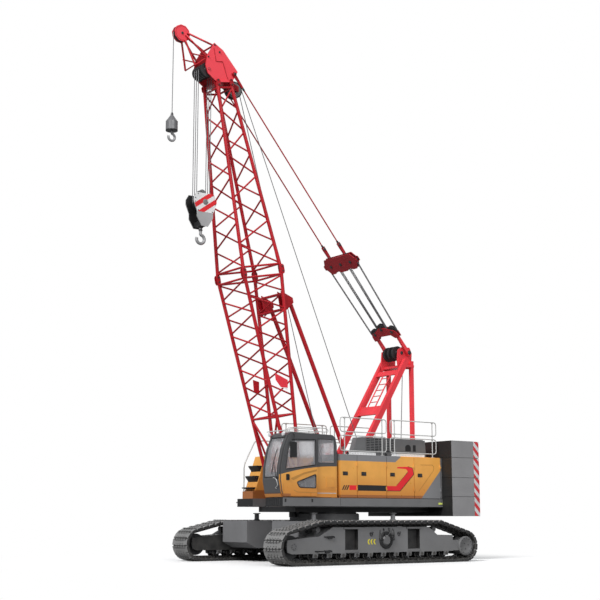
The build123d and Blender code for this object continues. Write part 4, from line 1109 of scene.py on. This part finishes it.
def cab_details():
    cab_door_details()
    shut, pale, yellow, lamps = meshes(4)
    rear = [(0.86, 1.648, 3.05), (1.52, 1.648, 3.05), (1.52, 1.648, 3.79), (0.86, 1.648, 3.79)]
    add_loop(shut, rounded(rear, 0.06, True), 0.013)
    screen = [on_front(y, z) for y, z in ((0.89, 2.6), (1.57, 2.6), (1.57, 2.9), (1.57, 3.45), (1.57, 3.8),
                                          (0.89, 3.8), (0.89, 3.45), (0.89, 2.9))]
    for a, b in zip(screen, screen[1:] + screen[:1]):
        add_tube(shut, a, b, 0.013, 8)
    add_pipe(shut, [on_front(y, z, 0.03) for y, z in BLADE], 0.012)
    add_pipe(shut, [on_front(*p) for p in WIPER_ARM], 0.011)
    disc(shut, on_front(1.6, 2.56, -0.005), (1, 0, 0), 0.028, 0.03, 16)
    add_block(shut, (1.3, 0.95, 3.94), (1.9, 1.5, 3.962), 0.01)
    add_block(shut, (2.405, 1.765, 3.19), (2.668, 1.79, 3.66), 0.012)
    add_pipe(shut, rounded([(2.5, 1.6, 3.9), (2.5, 1.778, 3.9), (2.53, 1.778, 3.62)], 0.04), 0.013)
    for x in (0.8, 1.575):
        add_block(shut, (x, 1.659, 2.3), (x + 0.008, 1.661, 2.94))
    put("cab_seals", shut, "black", "upper", 50)

    for y in (1.5, 0.95):
        loop = [(2.175, y, 4.145), (1.12, y, 4.145), (1.0, y, 4.11), (0.99, y, 4.03), (2.175, y, 4.03)]
        add_loop(pale, rounded(loop, 0.05, True), 0.013)
        fore = [(2.17, y, 4.04), (2.56, y, 4.04), (2.84, y, 4.0), (2.95, y, 3.98)]
        add_pipe(pale, rounded(fore, 0.1), 0.012)
        for x in (1.15, 1.75, 2.15, 2.5):
            add_tube(pale, (x, y, 3.93), (x, y, 4.03), 0.013)
            square_block(pale, x, y, 0.03, (3.935, 3.95), 0.004)
    for x, z in ((1.3, 4.145), (2.1, 4.145), (2.94, 3.98)):
        add_tube(pale, (x, 0.95, z), (x, 1.5, z), 0.012)
    add_pipe(pale, rounded([on_front(*p) for p in GRAB_BAR], 0.04), 0.011)
    add_block(pale, (0.8, 1.655, 2.115), (1.56, 1.6615, 2.14))
    put("cab_rails", pale, "rail", "upper", 50)
    add_block(yellow, (0.893, 1.66, 2.302), (1.19, 1.667, 2.614), 0.012)
    for z in (2.33, 2.58):
        add_block(yellow, (0.9, 1.667, z - 0.012), (0.96, 1.673, z + 0.012), 0.003)
    add_prism(yellow, [(2.93, 2.1), (2.88, 2.0), (2.9, 2.0), (2.95, 2.1)], 0.82, 1.64)
    put("cab_hatch", yellow, "yellow", "upper")
    for y in (0.86, 1.58):
        ring(lamps, (2.79, y, 3.9), (1, 0, -0.1),
             [(0.001, -0.04), (0.05, -0.03), (0.055, 0.02), (0.001, 0.026)], 24)
    put("cab_lamps", lamps, "clear", "upper")


def pad(name, centre, half, along, crown, channels):
    """Cushion: a closed crowned form, drawn in between its corners, with sewn channels and piping."""
    centre, along, side = Vector(centre), Vector(along).normalized(), Vector((0, 1, 0))
    up = along.cross(side)
    mesh = bmesh.new()
    bmesh.ops.create_cube(mesh, size=2)
    bmesh.ops.subdivide_edges(mesh, edges=mesh.edges, cuts=19, use_grid_fill=True)
    for v in mesh.verts:
        u, w, t = v.co / sum(abs(c) ** 5 for c in v.co) ** 0.2
        bulge = (1 - u * u) * (1 - w * w)
        groove = sum(math.exp(-((u - at) / 0.05) ** 2) for at in channels) * (t > 0) * (1 - w ** 4)
        rise = t * half[2] + (crown * bulge - 0.012 * groove) * (t > 0)
        draw = 1 - 0.05 * (1 - t * t)
        v.co = centre + along * (u * half[0] * draw * (0.97 + 0.03 * w * w)) \
            + side * (w * half[1] * draw * (0.97 + 0.03 * u * u)) + up * rise
    piping = [centre + along * (a * half[0] * 0.955) + side * (b * half[1] * 0.955) + up * half[2] * 0.45
              for a, b in ((1, 1), (-1, 1), (-1, -1), (1, -1))]
    add_loop(mesh, rounded(piping, 0.09, True), 0.007)
    made = put(name, mesh, "cloth", "upper", 50)
    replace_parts(made, "cab_seat")


def cab_interior():
    pad("seat_cushion", (1.58, SEAT_Y, 2.44), (0.27, 0.235, 0.07), (1, 0, 0), 0.025, (-0.35, 0.3))
    pad("seat_back", (1.295, SEAT_Y, 2.8), (0.35, 0.21, 0.06), (0.1, 0, -1), 0.02, (-0.4, 0.15, 0.6))
    pad("head_rest", (1.26, SEAT_Y, 3.2), (0.09, 0.13, 0.045), (0.1, 0, -1), 0.012, ())
    hard, metal = meshes(2)
    for z0, z1, grow in ((2.06, 2.12, 0.0), (2.12, 2.2, -0.03), (2.2, 2.28, 0.0), (2.28, 2.37, -0.02)):
        add_block(hard, (1.36 - grow, 1.01 - grow, z0), (1.84 + grow, 1.45 + grow, z1), 0.012)
    add_block(hard, (1.24, 1.06, 2.5), (1.28, 1.4, 3.1), 0.012)
    for y in (0.9, 1.56):
        add_block(hard, (1.42, y - 0.045, 2.5), (2.05, y + 0.045, 2.66), 0.02)
        add_block(hard, (1.5, y - 0.035, 2.06), (1.95, y + 0.035, 2.5), 0.01)
        for x in (1.8, 1.9, 2.0):
            add_pipe(metal, [(x, y, 2.66), (x + 0.01, y, 2.78), (x + 0.03, y, 2.86)], 0.008)
            ring(hard, (x + 0.03, y, 2.85), (0.2, 0, 1),
                 [(0.001, 0), (0.022, 0.008), (0.024, 0.03), (0.001, 0.05)], 14)
    add_prism(hard, [(2.36, 2.06), (2.6, 2.06), (2.6, 2.6), (2.52, 2.75), (2.38, 2.7)], 0.95, 1.5)
    add_prism(hard, [(2.42, 2.76), (2.46, 2.76), (2.5, 3.0), (2.46, 3.0)], 1.0, 1.26)
    for y in (1.08, SEAT_Y, 1.38):
        add_prism(hard, [(2.12, 2.07), (2.2, 2.07), (2.32, 2.2), (2.3, 2.22)], y - 0.05, y + 0.05)
        add_tube(metal, (2.3, y, 2.19), (2.38, y, 2.12), 0.012)
    for y in (1.2, 1.26):
        add_tube(metal, (1.27, y, 3.08), (1.26, y, 3.16), 0.008)
    for name, mesh, material in (("seat_base", hard, "plastic"), ("cab_levers", metal, "bright")):
        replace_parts(put(name, mesh, material, "upper"), "cab_seat")


# Boom, stay and gantry: lugs, pins, flanges of the sheaves, rope wound on the drums

def pin_head(mesh, place, side, radius, bolts=4):
    """Head of a cross pin outside a plate, with its keeper bolts."""
    axis = (0, side, 0)
    lathe(mesh, place, axis, (radius, 0), (radius, 0.012), (radius * 0.8, 0.018), sides=24)
    bolt_ring(mesh, Vector(place) + Vector(axis) * 0.018, axis, radius * 0.55, bolts, 0.009, 0.008)


def flanges(mesh, centre, axis, radius, half, rows=1):
    """Raised edges and hub of a sheave, and the edges between its grooves."""
    inner, outer = radius - 0.03, radius + 0.012
    for end in (-1, 1):
        face = end * half
        ring(mesh, centre, axis, [(inner, face), (outer, face + end * 0.003), (outer, face - end * 0.006),
                                  (inner, face - end * 0.008)], 40)
        lathe(mesh, centre, axis, (0.1, face), (0.095, face + end * 0.006), sides=24, hole=0.06)
    for middle in ((2 * k / rows - 1) * half for k in range(1, rows)):
        ring(mesh, centre, axis, [(radius - 0.02, middle - 0.004), (radius + 0.01, middle - 0.003),
                                  (radius + 0.01, middle + 0.003), (radius - 0.02, middle + 0.004)], 40)


def section(s):
    """Half width, front and rear offset of the boom's chords."""
    foot, joint = (0, 0.64, -0.115, 0.126), (JOINT_S, 0.758, -0.756, 0.723)
    head = (HEAD[0], 0.363, -0.273, 0.167)
    low, top = (foot, joint) if s <= JOINT_S else (joint, head)
    t = (s - low[0]) / (top[0] - low[0])
    return [a + t * (b - a) for a, b in zip(low[1:], top[1:])]


def boom_plate(mesh, corners, low, high):
    """Plate in the boom's side view: corners of s and n, from y low to y high."""
    add_prism(mesh, [(p.x, p.z) for p in (boom_at(s, n) for s, n in corners)], low, high)


def boom_details():
    lugs, pins, plates, sign = meshes(4)
    for s0, reach in ((JOINT_S, 0.17), (BOOM_END, 0.12)):
        half, front, rear = section(s0)
        for y in (-half, half):
            for n in (front, rear):
                corners = [(-1, -0.03), (-0.6, -0.07), (0.5, -0.07), (0.85, -0.03), (0.85, 0.03), (0.5, 0.07),
                           (-0.6, 0.07), (-1, 0.03)]
                for at in (y - 0.058, y + 0.058):
                    boom_plate(lugs, [(s0 + reach * a, n + b) for a, b in corners],
                               at, at + math.copysign(0.018, at - y))
                for s in (s0 - 0.08, s0 + 0.07):
                    add_tube(pins, boom_at(s, n, y - 0.095), boom_at(s, n, y + 0.095), 0.026, 14)
    for side in (-1, 1):
        for s, n, y, r in ((*HEAD, 0.381, 0.05), (*HEAD_PIN, 0.481, 0.05), (14.56, -0.02, 0.381, 0.035),
                           (14.8, -0.16, 0.381, 0.03), (14.4, -0.48, 0.381, 0.03)):
            pin_head(pins, boom_at(s, n, side * y), side, r)
        fold = [(4.712, 16.279), (4.629, 15.843), (4.373, 15.879), (4.17, 15.333)]
        add_pipe(lugs, [(x, side * 0.381, z) for x, z in fold], 0.012)
        pin_head(pins, (FOOT[0], side * 0.701, FOOT[1]), side, 0.085, 3)
        boom_plate(plates, [(0.06, -0.1), (0.42, -0.15), (0.42, 0.16), (0.06, 0.1)],
                   side * 0.6855, side * 0.693)
        pin_head(pins, boom_at(*TIP, side * TIP_FACE), side, 0.045, 6)
        rim = [boom_at(TIP[0] + 0.24 * c, TIP[1] + 0.24 * s, side * TIP_FACE) for c, s in turned(24)]
        add_loop(plates, rim, 0.007)
    add_prism(plates, [(2.84, 5.688), (2.608, 5.639), (2.605, 5.256), (2.798, 5.308)], -0.01, 0.01)
    add_prism(sign, [(2.517, 5.867), (2.011, 5.679), (2.011, 5.361), (2.283, 5.439), (2.477, 5.648)],
              0.735, 0.742)
    put("boom_sign", sign, "sign_board", "boom", None)
    put_all("boom", "boom_red", ("boom_lugs", lugs, "red"), ("boom_pins", pins, "bolt"),
            ("boom_doublers", plates, "red"))
    for name, place, places, radius, half, body in (
            ("head", HEAD, (-0.24, -0.12, 0, 0.12, 0.24), FALL - ROPE_R, 0.045, "main_falls"),
            ("guide", GUIDE, (-0.075, 0.075), GUIDE_R, 0.035, "boom"),
            ("tip", TIP, (0,), 0.255, 0.035, "aux_falls")):
        mesh = bmesh.new()
        for y in places:
            flanges(mesh, boom_at(*place, y), (0, 1, 0), radius, half)
        put(f"{name}_flanges", mesh, "sheave", body)


def stay_details():
    for name, places, radius, body in (
            ("spreader", [(SPREADER_D, -0.44), (SPREADER_D + 0.15, 0), (SPREADER_D, 0.44)], 0.192,
             "lower_spreader"),
            ("bridle", [(BRIDLE_D, -0.52), (BRIDLE_D, 0), (BRIDLE_D, 0.52)], 0.219, "bridle")):
        black, pins = meshes(2)
        for d, y in places:
            flanges(black, stay_at(d, y), STAY_UP, radius, 0.04, 2)
            for end in (-1, 1):
                lathe(pins, stay_at(d, y, end * 0.0705), STAY_UP * end, (0.06, 0), (0.06, 0.012),
                      (0.045, 0.02), sides=20)
        put(f"{name}_flanges", black, "sheave", body)
        put(f"{name}_pins", pins, "bolt", body)
    lugs = bmesh.new()
    length = (HEAD_POINT - stay_at(0)).length
    for y in (-0.42, 0.42):
        for d, r in ((BRIDLE_D + 0.3, 0.04), (BRIDLE_D + 0.68, 0.05)):
            for end in (-1, 1):
                pin_head(lugs, stay_at(d, y + end * 0.031), end, r)
        for d in (BRIDLE_D + 0.78, length - 0.56):
            ring(lugs, stay_at(d, y), STAY_DIR,
                 [(0.022, -0.06), (0.036, -0.05), (0.036, 0.05), (0.022, 0.06)], 20)
    put("pendant_pins", lugs, "bolt", "bridle")


def wound_rope(mesh, centre, barrel, half):
    """Turns of rope side by side on a drum's barrel."""
    turns = int(2 * half / (2 * ROPE_R))
    profile = [(barrel - 0.01, -half)]
    for start in (2 * ROPE_R * k - half for k in range(turns)):
        profile += [(barrel + rise, start + ROPE_R * on)
                    for rise, on in ((0.001, 0), (0.009, 0.5), (0.012, 1), (0.009, 1.5))]
    ring(mesh, centre, (0, 1, 0), profile + [(barrel - 0.01, 2 * ROPE_R * turns - half)], 40)


def winch_details():
    for name, (x, z), barrel, flange, body in (
            ("luff", LUFF_DRUM, LUFF_BARREL, 0.34, "upper"), ("main", MAIN_DRUM, BARREL, 0.4, "main_drum"),
            ("aux", AUX_DRUM, BARREL, 0.4, "aux_drum")):
        turns, rims, motors = meshes(3)
        wound_rope(turns, (x, 0, z), barrel, 0.385)
        for side in (-1, 1):
            place, axis = (x, side * 0.44, z), (0, side, 0)
            ring(rims, place, axis, [(flange - 0.05, 0), (flange + 0.004, 0), (flange + 0.004, -0.02),
                                     (flange - 0.05, 0.008)], 48)
            bolt_ring(rims, place, axis, flange - 0.12, 12, 0.012, 0.012)
        lathe(motors, (x, 0.5, z), (0, 1, 0), (0.17, 0), (0.17, 0.03), (0.13, 0.04), (0.13, 0.13))
        ring(motors, (x, -0.5, z), (0, -1, 0), [(0.001, 0), (0.14, 0), (0.14, 0.02), (0.001, 0.03)], 28)
        put(f"{name}_turns", turns, "rope", body, 60)
        put(f"{name}_drum_rims", rims, "sheave", body)
        put(f"{name}_motor", motors, "black", "upper")


def gantry_details():
    pins, flange = meshes(2)
    for side in (-1, 1):
        for (x, z), y, radius in (
                (STAY_PIN, 0.6, 0.075), (GANTRY_SHEAVE, 0.45, 0.06), (STOP_PIN, 0.655, 0.05)):
            pin_head(pins, (x, side * y, z), side, radius)
    for y in (-0.22, 0, 0.22):
        flanges(flange, (GANTRY_SHEAVE[0], y, GANTRY_SHEAVE[1]), (0, 1, 0), 0.24, 0.04)
    put("gantry_pins", pins, "bolt", "upper")
    put("gantry_flanges", flange, "sheave", "upper")


# Hooks: striped cheeks of the block, pins, collar, base and socket of the ball weight

CHEEK_TOP = [(-0.31, 0.33), (0.31, 0.33), (0.415, 0.16), (0.415, 0.02), (0.29, -0.28), (-0.29, -0.28),
             (-0.415, 0.02), (-0.415, 0.16)]
CHEEK_Y, STRIPE_TILT = 0.265, math.radians(54)


def turn_by(points, angle):
    c, s = math.cos(angle), math.sin(angle)
    return [(a * c - b * s, a * s + b * c) for a, b in points]


def hook_details():
    x = boom_at(*HEAD).x
    white, red, pins, collar, axle = meshes(5)
    for side in (-1, 1):
        axis, face = (0, side, 0), side * CHEEK_Y
        add_prism(white, [(x + a, BLOCK_Z + b) for a, b in CHEEK_TOP], face, side * 0.2665)
        for low, high in ((-0.205, -0.065), (0.065, 0.205)):
            band = turn_by(strip(turn_by(CHEEK_TOP, -STRIPE_TILT), low, high), STRIPE_TILT)
            add_prism(red, [(x + a, BLOCK_Z + b) for a, b in band], face, side * 0.268)
        pin_head(axle, (x, side * 0.266, BLOCK_Z + 0.05), side, 0.09)
        for a, b in CHEEK_TOP:
            place = (x + 0.88 * a, BLOCK_Z + 0.88 * b)
            add_tube(pins, (place[0], side * 0.266, place[1]), (place[0], side * 0.278, place[1]), 0.016, 8)
        disc(axle, (x, side * 0.06, BLOCK_Z + 0.37), axis, 0.125, 0.03, 28, 0.05)
        bolt_ring(pins, (x, side * 0.09, BLOCK_Z + 0.37), axis, 0.09, 5, 0.012, 0.01)
    lathe(pins, (x, 0, SWIVEL_Z), (0, 0, -1), (0.085, 0), (0.085, 0.02), (0.06, 0.05), sides=24, hole=0.049)
    put("block_white", white, "white", "hook_block", None)
    put("block_red", red, "stripe", "hook_block", None)
    put("block_pins", pins, "bolt", "hook_block")
    put("block_axle", axle, "iron", "hook_block")
    ring(collar, (x, 0, SWIVEL_Z - 0.14), UP, [(0.049, 0), (0.062, 0.004), (0.062, 0.05), (0.049, 0.054)], 20)
    put("hook_collar", collar, "bolt", "main_hook")
    x, (base, cap) = boom_at(*TIP).x + AUX_FALL, meshes(2)
    ring(base, (x, 0, BALL_Z), UP,
         [(0.04, -0.012), (0.185, -0.012), (0.1895, -0.006), (0.1895, 0), (0.04, 0.01)], 40)
    put("weight_base", base, "black", "aux_weight")
    lathe(cap, (x, 0, BALL_Z + 0.5), UP, (0.048, 0), (0.04, 0.06), (0.022, 0.1), sides=24, hole=0.014)
    put("rope_socket", cap, "bolt", "aux_weight")


make_materials()
camera_and_light()
studio_floor()
dress_frame()
ropes()
undercarriage()
door_details()
housing_details()
deck_details()
counterweight_details()
handrail_details()
cab_details()
cab_interior()
boom_details()
stay_details()
winch_details()
gantry_details()
hook_details()
